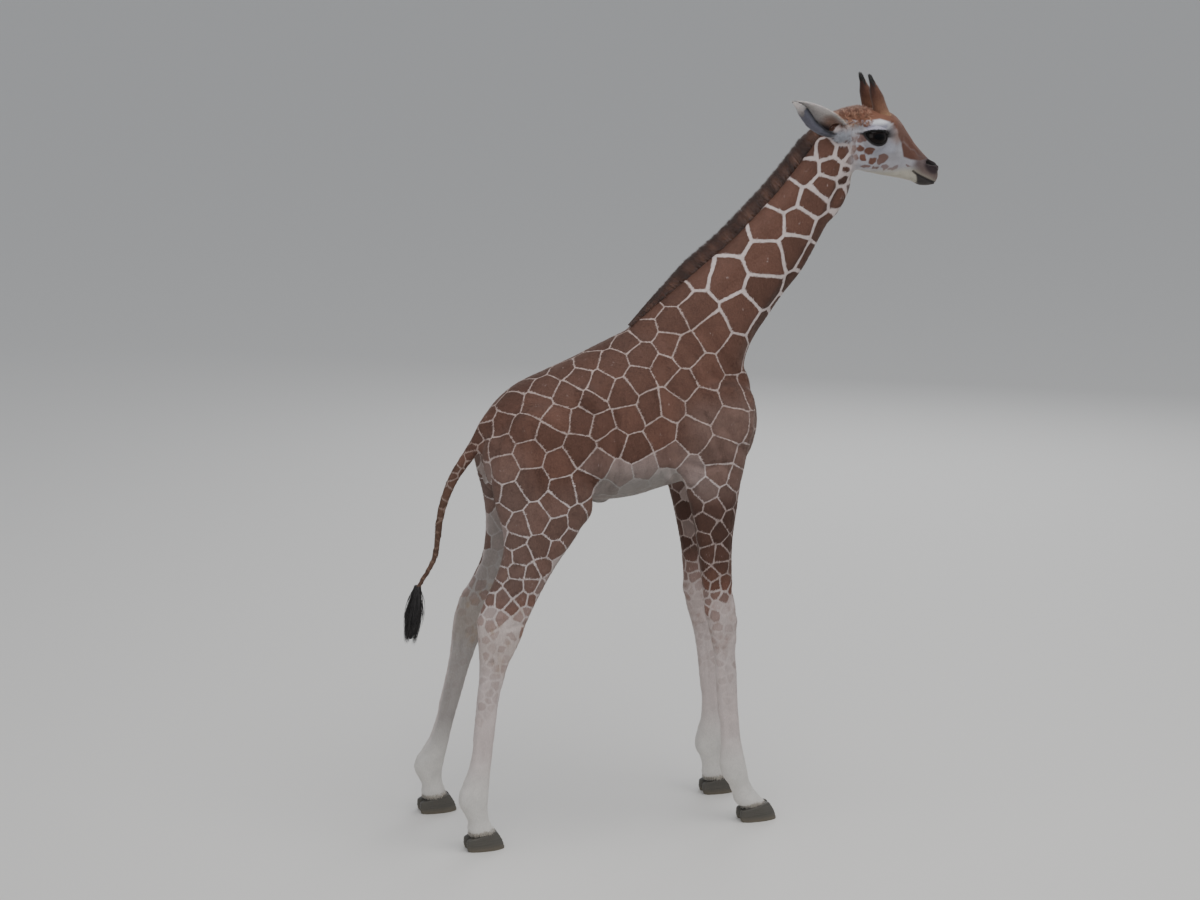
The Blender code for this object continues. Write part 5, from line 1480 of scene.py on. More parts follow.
def dress(made, which, p, n):
    """Gives a piece the stored fields of its roots."""
    f = coat_fields(p, n)
    f.update(pattern_at(p), line=line_width(p), dark=np.zeros(len(p)))
    for key in ("edge", "tint", "centre", "line", "shows", "dark"):
        store(made.data, key, "FLOAT", f[key][which])
    for key in ("patch", "ground"):
        store(made.data, key, "FLOAT_COLOR", f[key][which])


tuft_coat, tree, shader, group = coat_material("coat_tufts", False, Roughness=0.66, Specular_IOR_Level=0.30,
                                               Sheen_Weight=0.20, Sheen_Roughness=0.40)
shader.inputs["Sheen Tint"].default_value = (0.85, 0.72, 0.62, 1)
shade = attribute(tree, "shade").outputs["Fac"]
lit = node(tree, "ShaderNodeHueSaturation")
wire(tree, group.outputs["Color"], lit.inputs["Color"])
wire(tree, shade, lit.inputs["Value"])
wire(tree, lit.outputs["Color"], shader.inputs["Base Color"])

# %% Growing the coat
draw = np.random.default_rng(51)
coat_pieces = []
for k, some in enumerate(np.array_split(np.arange(len(roots)), COAT_PIECES)):
    p, n = roots[some], upward[some]
    part = regions(p, n)
    s = unturned(p)
    face_fine = part["head"] * step(0.70, 0.76, s[:, 0])
    foot = step(0.62, 0.20, p[:, 2])
    long = 0.0095 * (1 - 0.52 * face_fine) * (1 - 0.36 * foot) * draw.uniform(0.75, 1.25, len(p))
    long *= 1 - 0.35 * step(0.94, 1.0, s[:, 0]) * part["head"]
    wide = 0.0022 * (1 - 0.48 * face_fine) * (1 - 0.30 * foot) * draw.uniform(0.8, 1.2, len(p))
    tilt = np.radians(draw.uniform(6.0, 14.0, len(p)))
    way = lie(p, n)
    way = unit(way + 0.20 * draw.normal(size=way.shape))
    way = unit(way - n * (way * n).sum(1)[:, None])
    direction = way * np.cos(tilt)[:, None] + n * np.sin(tilt)[:, None]
    droop = -n * (long * 0.05)[:, None]
    made, which, each = locks(f"coat_{k}", p - n * 0.0006, direction, n, long, wide, droop, uv=root_uv[some], soft=n)
    dress(made, which, p + way * (long * 0.5)[:, None], n)
    tone = draw.uniform(0.86, 1.10, len(p))[which]
    tone[each - 1::each] *= 1.10
    tone[2::each] *= 1.02
    store(made.data, "shade", "FLOAT", tone)
    made.data.materials.append(tuft_coat)
    coat_pieces.append(made)
print("coat pieces:", [len(o.data.polygons) for o in coat_pieces])

# %% [markdown]
# ## Eyes
# Each eye is a ball with a dark brown iris and a wide pupil. The ball stores where each point
# looks, in the eye's own axes, and the material reads that. A dark wet rim runs round the
# opening, and lashes stand out from the upper lid.

# %% Eyeballs
def polished(name, colour, **settings):
    made, tree, shader = new_material(name, **settings)
    shader.inputs["Base Color"].default_value = (*colour, 1)
    return made, tree, shader


iris, tree, shader = polished("wet_eye", (0.02, 0.01, 0.006), Roughness=0.12, Specular_IOR_Level=0.12,
                              Coat_Weight=0.05, Coat_Roughness=0.03)
gaze = node(tree, "ShaderNodeSeparateXYZ")
wire(tree, attribute(tree, "gaze").outputs["Vector"], gaze.inputs[0])
wide, tall = gaze.outputs[0], gaze.outputs[1]
reach = maths(tree, "SQRT", maths(tree, "ADD", maths(tree, "MULTIPLY", wide, wide), maths(tree, "MULTIPLY", tall, tall)))
pupil = maths(tree, "SQRT", maths(tree, "ADD", maths(tree, "POWER", maths(tree, "DIVIDE", wide, 0.42), 2.0),
                                  maths(tree, "POWER", maths(tree, "DIVIDE", tall, 0.23), 2.0)))
threads = noise(tree, stretched(tree, 1, 1, 1), 260.0, 3.0, 0.6)
brown_iris = mixed(tree, threads, (0.003, 0.002, 0.002, 1), (0.011, 0.006, 0.005, 1))
seen = mixed(tree, ranged(tree, pupil, 0.92, 1.06), (0.0015, 0.0015, 0.002, 1), brown_iris)
seen = mixed(tree, ranged(tree, reach, 0.66, 0.74), seen, (0.006, 0.005, 0.005, 1))
wire(tree, seen, shader.inputs["Base Color"])


def in_eye(side, x, y, lift):
    """Points on a shell over the eyeball, from places x, y across it, after the head is turned."""
    out, ahead, up = eye_axes(side)
    x, y = np.asarray(x) / BALL_RADIUS, np.asarray(y) / BALL_RADIUS
    depth = np.sqrt(np.clip(1 - x * x - y * y, 0.0, 1))
    way = x[:, None] * ahead + y[:, None] * up + depth[:, None] * out
    p = np.array((BALL_AT[0], side * BALL_AT[1], BALL_AT[2])) + way * (BALL_RADIUS + np.asarray(lift))[..., None]
    return turn_points(p), turn_points(way + np.array(HEAD_PIVOT)) - np.array(HEAD_PIVOT)


def turn_points(p):
    c, s = math.cos(HEAD_TURN), math.sin(HEAD_TURN)
    q = p - np.array(HEAD_PIVOT)
    return np.stack([c * q[:, 0] - s * q[:, 1], s * q[:, 0] + c * q[:, 1], q[:, 2]], 1) + np.array(HEAD_PIVOT)


def new_piece(name, bm):
    mesh = bpy.data.meshes.new(name)
    bmesh.ops.recalc_face_normals(bm, faces=bm.faces)
    bm.to_mesh(mesh)
    bm.free()
    smooth(mesh)
    made = bpy.data.objects.new(name, mesh)
    bpy.context.scene.collection.objects.link(made)
    return made


wet_rim, tree, shader = polished("wet_rim", (0.010, 0.008, 0.008), Roughness=0.48, Specular_IOR_Level=0.3)
wire(tree, mixed(tree, noise(tree, stretched(tree, 1, 1, 1), 320.0), (0.004, 0.003, 0.004, 1), (0.010, 0.008, 0.008, 1)),
     shader.inputs["Base Color"])
eye_pieces, rim_pieces = {}, {}
for side, word in ((1, "left"), (-1, "right")):
    out, ahead, up = eye_axes(side)
    bm = bmesh.new()
    bmesh.ops.create_uvsphere(bm, u_segments=48, v_segments=32, radius=BALL_RADIUS)
    ball = new_piece(f"eyeball_{word}", bm)
    way = coordinates(ball.data) / BALL_RADIUS
    store(ball.data, "gaze", "FLOAT_VECTOR", np.stack([way @ ahead, way @ up, way @ out], 1))
    set_coordinates(ball.data, turn_points(way * BALL_RADIUS + np.array((BALL_AT[0], side * BALL_AT[1], BALL_AT[2]))))
    ball.data.materials.append(iris)
    eye_pieces[side] = ball
    # The rim is a closed tube along the opening.
    loop = lid_path(88)
    centre, way = in_eye(side, loop[:, 0], loop[:, 1], np.full(len(loop), 0.0010))
    ahead_of = unit(np.roll(centre, -1, 0) - np.roll(centre, 1, 0))
    across = np.cross(ahead_of, way)
    bm = bmesh.new()
    rows = [[bm.verts.new(c + (w * math.cos(a) + x * math.sin(a)) * 0.0016) for a in np.linspace(0, 2 * math.pi, 8, endpoint=False)]
            for c, w, x in zip(centre, way, across)]
    for row in rows:
        for a, b in zip(row, row[1:] + row[:1]):
            bm.edges.new((a, b))
    for one, two in zip(rows, rows[1:] + rows[:1]):
        rim = [bm.edges.get((a, b)) for row in (one, two) for a, b in zip(row, row[1:] + row[:1])]
        bmesh.ops.bridge_loops(bm, edges=rim)
    rim_pieces[side] = new_piece(f"eye_rim_{word}", bm)
    rim_pieces[side].data.materials.append(wet_rim)
print("eyes:", [len(o.data.polygons) for o in eye_pieces.values()])

# %% Lashes
hair_group, inside, outside = node_group("hair_tone", (("Hair", COLOUR, (0.1, 0.05, 0.03, 1)),), (("Color", COLOUR),))
t = hair_group
streak = maths(t, "MULTIPLY_ADD", noise(t, stretched(t, 1, 1, 0.3), 300.0, 2.0), 0.7, 0.65)
grey = node(t, "ShaderNodeCombineColor")
for k in range(3):
    wire(t, streak, grey.inputs[k])
wire(t, mixed(t, 1.0, inside.outputs["Hair"], grey.outputs[0], "MULTIPLY"), outside.inputs["Color"])


def hair_material(name, rough=0.55, gloss=0.35, sheen=0.15):
    """Hair whose colour is stored on each lock."""
    made, tree, shader = new_material(name, Roughness=rough, Specular_IOR_Level=gloss, Sheen_Weight=sheen)
    group = node(tree, "ShaderNodeGroup", node_tree=hair_group)
    wire(tree, attribute(tree, "hair").outputs["Color"], group.inputs["Hair"])
    wire(tree, group.outputs["Color"], shader.inputs["Base Color"])
    return made


lash_hair = hair_material("lashes", 0.5)
lash_pieces = {}
for side, word in ((1, "left"), (-1, "right")):
    x = np.concatenate([draw.uniform(-0.030, 0.0350, 150), draw.uniform(-0.026, 0.030, 45)])
    upper = np.arange(len(x)) < 150
    y = np.where(upper, lid_line(x, "upper") + 0.0008, lid_line(x, "lower") - 0.0012)
    p, way = in_eye(side, x, y, np.full(len(x), 0.0022))
    out, ahead, up = (turn_points(v[None] + np.array(HEAD_PIVOT))[0] - np.array(HEAD_PIVOT) for v in eye_axes(side))
    long = np.where(upper, 0.0115, 0.006) * draw.uniform(0.7, 1.2, len(x))
    fan = (x / LID_HALF)[:, None] * ahead * 0.55
    way = unit(way + fan + np.where(upper, 0.05, -0.7)[:, None] * up + 0.10 * draw.normal(size=p.shape))
    bend = up * np.where(upper, -0.10, 0.25)[:, None] * long[:, None]
    made, which, each = locks(f"lashes_{word}", p, way, np.tile(up, (len(p), 1)), long, 0.0009, bend, 3,
                              uv=np.full((len(p), 2), 0.5))
    store(made.data, "hair", "FLOAT_COLOR", np.tile((0.008, 0.006, 0.006), (len(which), 1)))
    made.data.materials.append(lash_hair)
    lash_pieces[side] = made
print("lashes on", list(lash_pieces))

# %% [markdown]
# ## Ears
# An ear is a rolled leaf of thin skin. Its upper wall is wide and creamy inside; its lower margin
# folds up over the hollow, and the outside of that fold, which faces down, is painted grey as shade.
# The hollow under the upper wall and the free margin carry painted shadow. Each section runs from
# the upper edge down into the hollow, round the lower edge and up to the free margin. A grid of the
# right size is laid on those sections, and Solidify gives it the thickness of an ear.

# %% Ear leaves
EARS = {"left": ((0.6528, 0.0520, 1.977), (0.740, 0.190, 1.942), (0.55, -0.10, -0.45), 0.86),
        "right": ((0.6700, -0.0580, 1.975), (0.519, -0.112, 2.052), (-0.25, -0.80, -0.55), 1.0)}
EAR_ROWS, EAR_COLUMNS = 44, 28


def ear_leaf(u, v, root, tip, opening, scale, mirror):
    """A place on the ear: u from root to tip, v from the upper edge round the fold to the free margin."""
    root, tip, opening = (np.array(x, float) for x in (root, tip, opening))
    along = unit(tip - root)
    opening = unit(opening - along * (opening @ along))
    across = np.cross(along, opening) * mirror
    length = np.linalg.norm(tip - root)
    wide = 0.0365 * np.sin(math.pi * np.clip(u * 0.80 + 0.20, 0.02, 1)).clip(0) ** 0.58 * (1 - 0.16 * u) * scale
    wide = np.maximum(wide, 0.0012)
    quarters = (0, 0.25, 0.5, 0.75, 1)
    low_a, low_o = np.interp(u, quarters, (1.05, 1.18, 1.16, 0.94, 0.32)), np.interp(u, quarters, (0.70, 0.85, 0.80, 0.64, 0.20))
    free_a, free_o = np.interp(u, quarters, (0.50, 0.28, 0.15, -0.45, -0.90)), np.interp(u, quarters, (0.80, 0.95, 0.66, 0.58, 0.30))
    cup = 1 - 0.75 * u
    knots_a = np.stack([-np.ones_like(u), -0.45 + 0 * u, 0.30 + 0 * u, 0.82 * low_a, low_a, 0.5 * (free_a + low_a) + 0.05, free_a], 1)
    knots_o = np.stack([0.26 * cup, -0.22 * cup, -0.42 * cup, 0.12 * low_o, 0.75 * low_o, 0.5 * (low_o + free_o) + 0.12, free_o], 1)
    at = np.clip(v * 6, 0, 5.9999)
    i = at.astype(int)
    t = at - i
    out = []
    for knots in (knots_a, knots_o):
        row = np.arange(len(u))
        b, c = knots[row, i], knots[row, i + 1]
        a, d = knots[row, np.maximum(i - 1, 0)], knots[row, np.minimum(i + 2, 6)]
        out.append(0.5 * (2 * b + (c - a) * t + (2 * a - 5 * b + 4 * c - d) * t * t + (3 * b - a - 3 * c + d) * t ** 3))
    sag = -0.06 * length * np.sin(math.pi * u)
    return root + along * (length * u)[:, None] + across * (wide * out[0])[:, None] + opening * (wide * out[1] + sag * 0.35)[:, None]


ear_skin, tree, shader = new_material("ear_skin", Roughness=0.62, Specular_IOR_Level=0.3, Sheen_Weight=0.2)
tone = node(tree, "ShaderNodeGroup", node_tree=hair_group)
wire(tree, attribute(tree, "hair").outputs["Color"], tone.inputs["Hair"])
wire(tree, tone.outputs["Color"], shader.inputs["Base Color"])
shader.inputs["Subsurface Weight"].default_value = 0.08
shader.inputs["Subsurface Radius"].default_value = (0.006, 0.002, 0.001)
bump = node(tree, "ShaderNodeBump")
bump.inputs["Strength"].default_value = 0.4
bump.inputs["Distance"].default_value = 0.001
wire(tree, noise(tree, stretched(tree, 1, 1, 1), 520.0), bump.inputs["Height"])
wire(tree, bump.outputs["Normal"], shader.inputs["Normal"])


def ear_colour(u, v, inner):
    """Colour of the ear at a place, on its inner or outer face, with painted shade on the fold and in the hollow."""
    mix = lambda a, b, t: a + (b - a) * np.asarray(t)[:, None]
    cream, grey = rgb(214, 206, 202), rgb(92, 92, 104)
    out = np.tile(cream, (len(u), 1))
    wall = mix(out, rgb(176, 128, 100), 0.75 * step(0.34, 0.06, u) * step(0.02, 0.25, v))
    # Painted shadow deep in the hollow, under the upper wall.
    deep = mix(wall, rgb(52, 48, 54), step(0.34, 0.50, v) * step(1.0, 0.6, u))
    # The outside of the fold faces down and is grey as painted shade, a little lighter near the root.
    fold = mix(np.tile(grey, (len(u), 1)), rgb(150, 150, 156), step(0.10, -0.02, u))
    # Painted shadow along the free margin.
    fold = mix(fold, rgb(34, 32, 38), step(0.90, 0.985, v))
    outer = np.where((v > 0.52)[:, None], fold, mix(mix(out, rgb(190, 160, 140), step(0.5, 0.1, u)), rgb(60, 55, 58), step(0.90, 1.0, u)))
    return np.where(inner[:, None], deep, outer)


ear_pieces, ear_places = {}, {}
for word, (root, tip, opening, scale) in EARS.items():
    mirror = -1 if word == "right" else 1
    bm = bmesh.new()
    bmesh.ops.create_grid(bm, x_segments=EAR_ROWS, y_segments=EAR_COLUMNS, size=0.5, calc_uvs=False)
    grid_at = np.array([v.co[:2] for v in bm.verts]) + 0.5
    place = ear_leaf(grid_at[:, 0] * 1.08 - 0.08, grid_at[:, 1], root, tip, opening, scale, mirror)
    for v, p in zip(bm.verts, place):
        v.co = p
    leaf = new_piece(f"ear_leaf_{word}", bm)
    store(leaf.data, "where", "FLOAT_VECTOR", np.stack([grid_at[:, 0] * 1.08 - 0.08, grid_at[:, 1], np.zeros(len(grid_at))], 1))
    wall = leaf.modifiers.new("wall", "SOLIDIFY")
    wall.thickness, wall.offset = 0.0030, 0
    thick = evaluated_mesh(leaf)
    leaf.modifiers.clear()
    leaf.data = thick
    where = np.empty(len(thick.vertices) * 3, np.float32)
    thick.attributes["where"].data.foreach_get("vector", where)
    where = where.reshape(-1, 3).astype(float)
    middle_place = ear_leaf(where[:, 0], where[:, 1], root, tip, opening, scale, mirror)
    spine = ear_leaf(where[:, 0], np.full(len(where), 0.42), root, tip, opening, scale, mirror) + np.array(opening) * 0.02
    inner = ((coordinates(thick) - middle_place) * (spine - middle_place)).sum(1) > 0
    store(thick, "hair", "FLOAT_COLOR", ear_colour(where[:, 0], where[:, 1], inner))
    smooth(thick)
    thick.materials.clear()
    thick.materials.append(ear_skin)
    unwrap(leaf)
    ear_pieces[word] = leaf
    ear_places[word] = (where, inner)
print("ear leaves:", [len(o.data.polygons) for o in ear_pieces.values()])

# %% Hair on the ears
ear_hair = hair_material("ear_hair", 0.7, 0.25, 0.25)


def mesh_uv_roots(thing, count, seed, chosen=None):
    """Random roots on a piece, with its own unwrap's place for each."""
    own = np.empty(len(thing.data.loops) * 2)
    thing.data.uv_layers["OFBake"].data.foreach_get("uv", own)
    own = own.reshape(-1, 2)
    p, n, corner, share = surface_points(thing.data, count, seed)
    index = np.empty(len(thing.data.loops), np.int32)
    thing.data.loops.foreach_get("vertex_index", index)
    return p, n, (own[corner] * share[:, :, None]).sum(1), index[corner], share


ear_hair_pieces = {}
for word, leaf in ear_pieces.items():
    root, tip, opening, scale = EARS[word]
    where, inner = ear_places[word]
    p, n, uv, index, share = mesh_uv_roots(leaf, 15000, 61)
    u = (where[index, 0] * share).sum(1)
    v = (where[index, 1] * share).sum(1)
    inside_ear = (inner[index] * share).sum(1) > 0.5
    along = unit(np.array(tip) - np.array(root))
    way = np.tile(along, (len(p), 1)) + 0.25 * draw.normal(size=p.shape)
    way = unit(way - n * (way * n).sum(1)[:, None] * 0.93)
    base = step(0.30, 0.0, u)
    edge_on = np.maximum(step(0.04, 0.0, v), step(0.97, 1.0, v))
    long = 0.0055 + 0.006 * base + 0.005 * inside_ear * step(0.10, 0.35, v) * step(0.75, 0.3, v) + 0.002 * edge_on
    long = long * draw.uniform(0.7, 1.3, len(p))
    made, which, each = locks(f"ear_hair_{word}", p - n * 0.0003, way + n * (0.16 + 0.25 * base)[:, None], n, long, 0.0011, -n * 0.0006, 1, uv=uv, soft=n)
    # The ear hair takes the ear's colours, with their painted shade.
    colour = ear_colour(u, v, inside_ear) * draw.uniform(0.8, 1.15, len(p))[:, None]
    store(made.data, "hair", "FLOAT_COLOR", colour[which])
    made.data.materials.append(ear_hair)
    ear_hair_pieces[word] = made

# %% Fluff round the ear roots and the curls of the crown
def skin_nearest(p):
    """Nearest place on the skin, its normal and its place on the unwrap."""
    out = []
    for q in p:
        hit, normal, face, _ = skin_tree.find_nearest(Vector(q))
        out.append((*hit, *normal, *skin_uv[skin.data.polygons[face].loop_start]))
    return np.array(out).reshape(-1, 8)


from mathutils.bvhtree import BVHTree
bm = bmesh.new()
bm.from_mesh(skin.data)
skin_tree = BVHTree.FromBMesh(bm)
bm.free()


def scattered(centre, radii, count):
    """Random places near a point of the straight head, turned with the head."""
    return turn_points(np.array(centre) + draw.normal(size=(count, 3)) * np.array(radii) * 0.55)


fluff_hair = hair_material("fluff", 0.75, 0.2, 0.3)
fluff_pieces = []
for side, word in ((1, "left"), (-1, "right")):
    spots = np.concatenate([scattered((0.676, side * 0.062, 1.944), (0.024, 0.010, 0.020), 1900),
                            scattered((0.698, side * 0.058, 1.968), (0.024, 0.012, 0.018), 1500)])
    near_skin = skin_nearest(spots)
    p, n, uv = near_skin[:, :3], near_skin[:, 3:6], near_skin[:, 6:]
    way = unit(np.array((-0.55, side * 0.25, -0.45)) + 0.28 * draw.normal(size=p.shape) + n * 0.32)
    long = draw.uniform(0.007, 0.013, len(p))
    made, which, each = locks(f"ear_fluff_{word}", p - n * 0.001, way, n, long, 0.0013, -n * (long * 0.35)[:, None], 2, uv=uv, soft=n)
    # The white fluff is painted blue-grey lower down as shade; higher up, by the crown, it is warmer.
    high = step(1.955, 1.985, p[:, 2])[:, None]
    colour = (rgb(178, 180, 188) * (1 - high) + rgb(186, 158, 142) * high) * draw.uniform(0.85, 1.1, len(p))[:, None]
    store(made.data, "hair", "FLOAT_COLOR", colour[which])
    made.data.materials.append(fluff_hair)
    fluff_pieces.append(made)

count = 5200
spots = np.stack([draw.uniform(0.672, 0.768, count), draw.uniform(-0.066, 0.066, count), np.full(count, 2.02)], 1)
spots[:, 2] -= 0.055 * np.clip(np.abs(spots[:, 1]) / 0.068, 0, 1) ** 2
near_skin = skin_nearest(turn_points(spots))
p, n, uv = near_skin[:, :3], near_skin[:, 3:6], near_skin[:, 6:]
swirl = unit(np.cross(n, np.sin(p * np.array((310.0, 270.0, 290.0)) + 1.7)) + 0.5 * draw.normal(size=p.shape))
height = step(0.066, 0.030, np.abs(spots[:, 1]))
long = draw.uniform(0.009, 0.014, count) + 0.006 * height
way = unit(n * (0.35 + 0.75 * height)[:, None] + swirl * 0.75 + np.array((-0.35, 0, 0)))
made, which, each = locks("crown_curls", p - n * 0.001, way, n, long, 0.0014, (np.cross(way, n) * 0.6 - n * 0.35) * long[:, None], 3, uv=uv, soft=n)
light = (draw.random(count) ** 3.0)[:, None]
colour = (rgb(116, 70, 52) + (rgb(190, 150, 124) - rgb(116, 70, 52)) * light) * draw.uniform(0.6, 1.1, count)[:, None]
store(made.data, "hair", "FLOAT_COLOR", colour[which])
made.data.materials.append(fluff_hair)
crown = made
print("fluff and curls:", sum(len(o.data.polygons) for o in fluff_pieces + [crown]))

# %% [markdown]
# ## Ossicones
# A calf's ossicones are soft cones covered in coat, each with a black brush that leans back.
# They are lofted with fine rings from a wide foot in the forehead, and carry short hair.

# %% Ossicones and their brushes
def horn_ring(side, share, radius, sides=28):
    base, top = turned((0.817, side * 0.0335, 1.990)), turned((0.787, side * 0.0275, 2.107))
    along = (top - base).normalized()
    across = along.cross(Vector((0, 1, 0))).normalized()
    swept = Vector((-0.007 * max(share - 0.45, 0) / 0.45, 0, 0))
    return ring(base.lerp(top, share) + swept + across * 0.0035 * math.sin(share * 3.1), across, along.cross(across), radius * 1.06, radius, 0.5, sides, 2.0)


HORN_ROWS = ((-0.06, 0.0245), (0.02, 0.0215), (0.12, 0.0192), (0.25, 0.0178), (0.40, 0.0168), (0.52, 0.0156),
             (0.64, 0.0126), (0.74, 0.0092), (0.84, 0.0060), (0.90, 0.0025))
horn_coat = hair_material("ossicone_coat", 0.7, 0.25, 0.2)
black_brush = hair_material("black_brush", 0.5, 0.4, 0.1)
horn_pieces, brush_pieces = {}, {}
for side, word in ((1, "left"), (-1, "right")):
    bm = bmesh.new()
    loft(bm, [horn_ring(side, t, r) for t, r in curve_through(HORN_ROWS, 4)])
    cone = new_piece(f"ossicone_{word}_coat", bm)
    unwrap(cone)

    def horn_colour(p):
        share = ((p - np.array(turned((0.817, side * 0.0335, 1.990)))) @ np.array((-0.25, 0, 0.97))) / 0.120
        out = rgb(128, 92, 72) + (rgb(100, 66, 52) - rgb(128, 92, 72)) * step(0.15, 0.55, share)[:, None]
        rear = step(-0.002, -0.012, p[:, 0] - (turned((0.817, side * 0.0335, 1.990)).x - 0.030 * share)) * step(0.35, 0.8, share)
        out = out + (rgb(60, 36, 30) - out) * np.maximum(rear, step(0.72, 0.88, share))[:, None]
        return out + (rgb(178, 140, 104) - out) * (step(0.16, -0.02, share) * 0.5)[:, None]

    store(cone.data, "hair", "FLOAT_COLOR", horn_colour(coordinates(cone.data)))
    cone.data.materials.append(horn_coat)
    horn_pieces[word] = cone
    p, n, uv, _, _ = mesh_uv_roots(cone, 7000, 71 + side)
    up_way = np.array((-0.18, 0, 1.0))
    way = unit(up_way - n * (n @ up_way)[:, None] + 0.15 * draw.normal(size=p.shape))
    long = draw.uniform(0.005, 0.009, len(p))
    made, which, each = locks(f"ossicone_hair_{word}", p - n * 0.0004, way + n * 0.17, n, long, 0.0012, uv=uv, soft=n)
    store(made.data, "hair", "FLOAT_COLOR", (horn_colour(p) * draw.uniform(0.8, 1.15, len(p))[:, None])[which])
    made.data.materials.append(horn_coat)
    # The brush grows from the upper back of the cone and leans back.
    top_share = draw.uniform(0.56, 0.90, 620)
    base, top = np.array(turned((0.817, side * 0.0335, 1.990))), np.array(turned((0.787, side * 0.0275, 2.107)))
    around = draw.uniform(0, 2 * math.pi, 620)
    thick = np.interp(top_share, [r[0] for r in HORN_ROWS], [r[1] for r in HORN_ROWS])
    outward = np.stack([np.cos(around), np.sin(around), 0.15 + 0 * around], 1)
    behind = (np.cos(around) < 0.1) | (top_share > 0.80)
    q = base + (top - base) * top_share[:, None] + outward * thick[:, None] * 0.9
    q[:, 0] -= 0.007 * np.maximum(top_share - 0.45, 0) / 0.45
    q, top_share, outward = q[behind], top_share[behind], outward[behind]
    tip_at = top + np.array((-0.012, 0, 0.003)) + 0.0016 * draw.normal(size=q.shape)
    gone = np.linalg.norm(tip_at - q, axis=1) * draw.uniform(0.70, 1.0, len(q))
    brush, which, _ = locks(f"ossicone_brush_{word}", q, unit(tip_at - q), unit(outward), gone, 0.0017,
                            outward * 0.003, 3, uv=np.full((len(q), 2), 0.4))
    store(brush.data, "hair", "FLOAT_COLOR", np.tile((0.012, 0.009, 0.008), (len(which), 1)))
    brush.data.materials.append(black_brush)
    brush_pieces[word] = (made, brush)
print("ossicones:", [len(o.data.polygons) for o in horn_pieces.values()])

# %% [markdown]
# ## Mane
# The mane is a stiff upright brush from the crown to the withers. A thin fin gives it body, and
# closed locks stand on both sides and along the top. Its colour changes in bands along the neck,
# dark chestnut and lighter in turn, lighter near the roots and dark at the tips.

# %% Mane
NAPE = curve_through([(row[0], row[1], row[2], row[3]) for row in NECK[1:]], 3)
nape_at = np.concatenate([[0], np.cumsum(np.linalg.norm(np.diff(NAPE[:, :2], axis=0), axis=1))])
nape_long = nape_at[-1]


def nape(share):
    """Points on the nape and the upright direction there."""
    row = [np.interp(share * nape_long, nape_at, NAPE[:, k]) for k in range(4)]
    up = unit(np.stack([row[0] - row[2], 0 * row[0], row[1] - row[3]], 1))
    return np.stack([row[0], 0 * row[0], row[1]], 1), up


def mane_height(share):
    return 0.040 * np.minimum(1, np.minimum(0.10 + 3.0 * share, 0.42 + 5.0 * (1 - share)))


bm = bmesh.new()
fin_rows = []
for share in np.linspace(0.004, 0.996, 70):
    at, up = nape(np.array([share]))
    at, up = Vector(at[0]), Vector(up[0])
    tall = float(mane_height(share)) * 0.80
    fin_rows.append(ring(at - up * 0.010 + up * (tall + 0.010) / 2, up, Vector((0, 1, 0)), (tall + 0.010) / 2, 0.0080, 0.30, 14, 2.3))
loft(bm, fin_rows)
fin = new_piece("mane_core", bm)
unwrap(fin)


def mane_colour(share, level):
    band = 0.5 + (0.14 + 0.30 * share) * np.sin(share * nape_long / 0.058 * 2 * math.pi + 2.4 * np.sin(share * 17.0))
    base = rgb(94, 58, 43) + (rgb(62, 39, 30) - rgb(94, 58, 43)) * band[:, None]
    base = base + (rgb(140, 108, 92) - base) * (step(0.30, 0.0, level) * 0.5 * (1 - band) ** 2)[:, None]
    return base + (rgb(44, 29, 23) - base) * (step(0.72, 1.0, level) * 0.65)[:, None]


at = coordinates(fin.data)
nearest = np.abs(at[:, None, 0] * 0.66 + at[:, None, 2] * 0.75 - (NAPE[None, :, 0] * 0.66 + NAPE[None, :, 1] * 0.75)).argmin(1)
share = nape_at[nearest] / nape_long
foot, up = nape(share)
store(fin.data, "hair", "FLOAT_COLOR", mane_colour(share, ((at - foot) * up).sum(1) / 0.04) * 0.7)
mane_hair = hair_material("mane_hair", 0.6, 0.3, 0.2)
fin.data.materials.append(mane_hair)

count = 12000
share = draw.uniform(0.002, 0.998, count)
foot, up = nape(share)
level = draw.uniform(-0.18, 0.62, count) ** 1.0
out = draw.uniform(-1, 1, count)
out = np.sign(out) * np.abs(out) ** 0.5
tall = mane_height(share)
clump = np.round(share * 260) / 260
lean = 0.10 * np.sin(clump * 190.0) + 0.05 * draw.normal(size=count)
tangent = unit(np.stack([up[:, 2], 0 * share, -up[:, 0]], 1))
root_p = foot + up * (tall * level)[:, None]
root_p[:, 1] = out * (0.0098 - 0.0042 * np.clip(level, 0, 1))
way = unit(up + tangent * (-0.10 + lean)[:, None] + np.stack([0 * out, 0.10 * out, 0 * out], 1))
long = np.minimum(tall * (1.04 - level) * draw.uniform(0.75, 1.05, count), 0.034)
bend = (tangent * (0.10 * draw.normal(size=count))[:, None] * long[:, None]) + np.stack([0 * out, -0.12 * out * long, 0 * out], 1)
near_skin = skin_nearest(foot)
sideways = np.stack([0 * out, np.sign(out), 0 * out], 1)
mane, which, each = locks("mane_locks", root_p, way, sideways, long, 0.0018 * draw.uniform(0.7, 1.3, count), bend, 3, uv=near_skin[:, 6:])
level_tip = np.tile(np.linspace(0, 1, each), count) * (long / tall)[which] + level[which]
tone = mane_colour(share, level)[which]
tone = tone + (rgb(40, 25, 22) - tone) * (step(0.75, 1.0, level_tip) * 0.7)[:, None]
store(mane.data, "hair", "FLOAT_COLOR", tone * (draw.uniform(0.62, 1.42, count))[which][:, None])
mane.data.materials.append(mane_hair)
print("mane:", len(mane.data.polygons), "faces in", count, "locks over", round(nape_long, 3), "m")

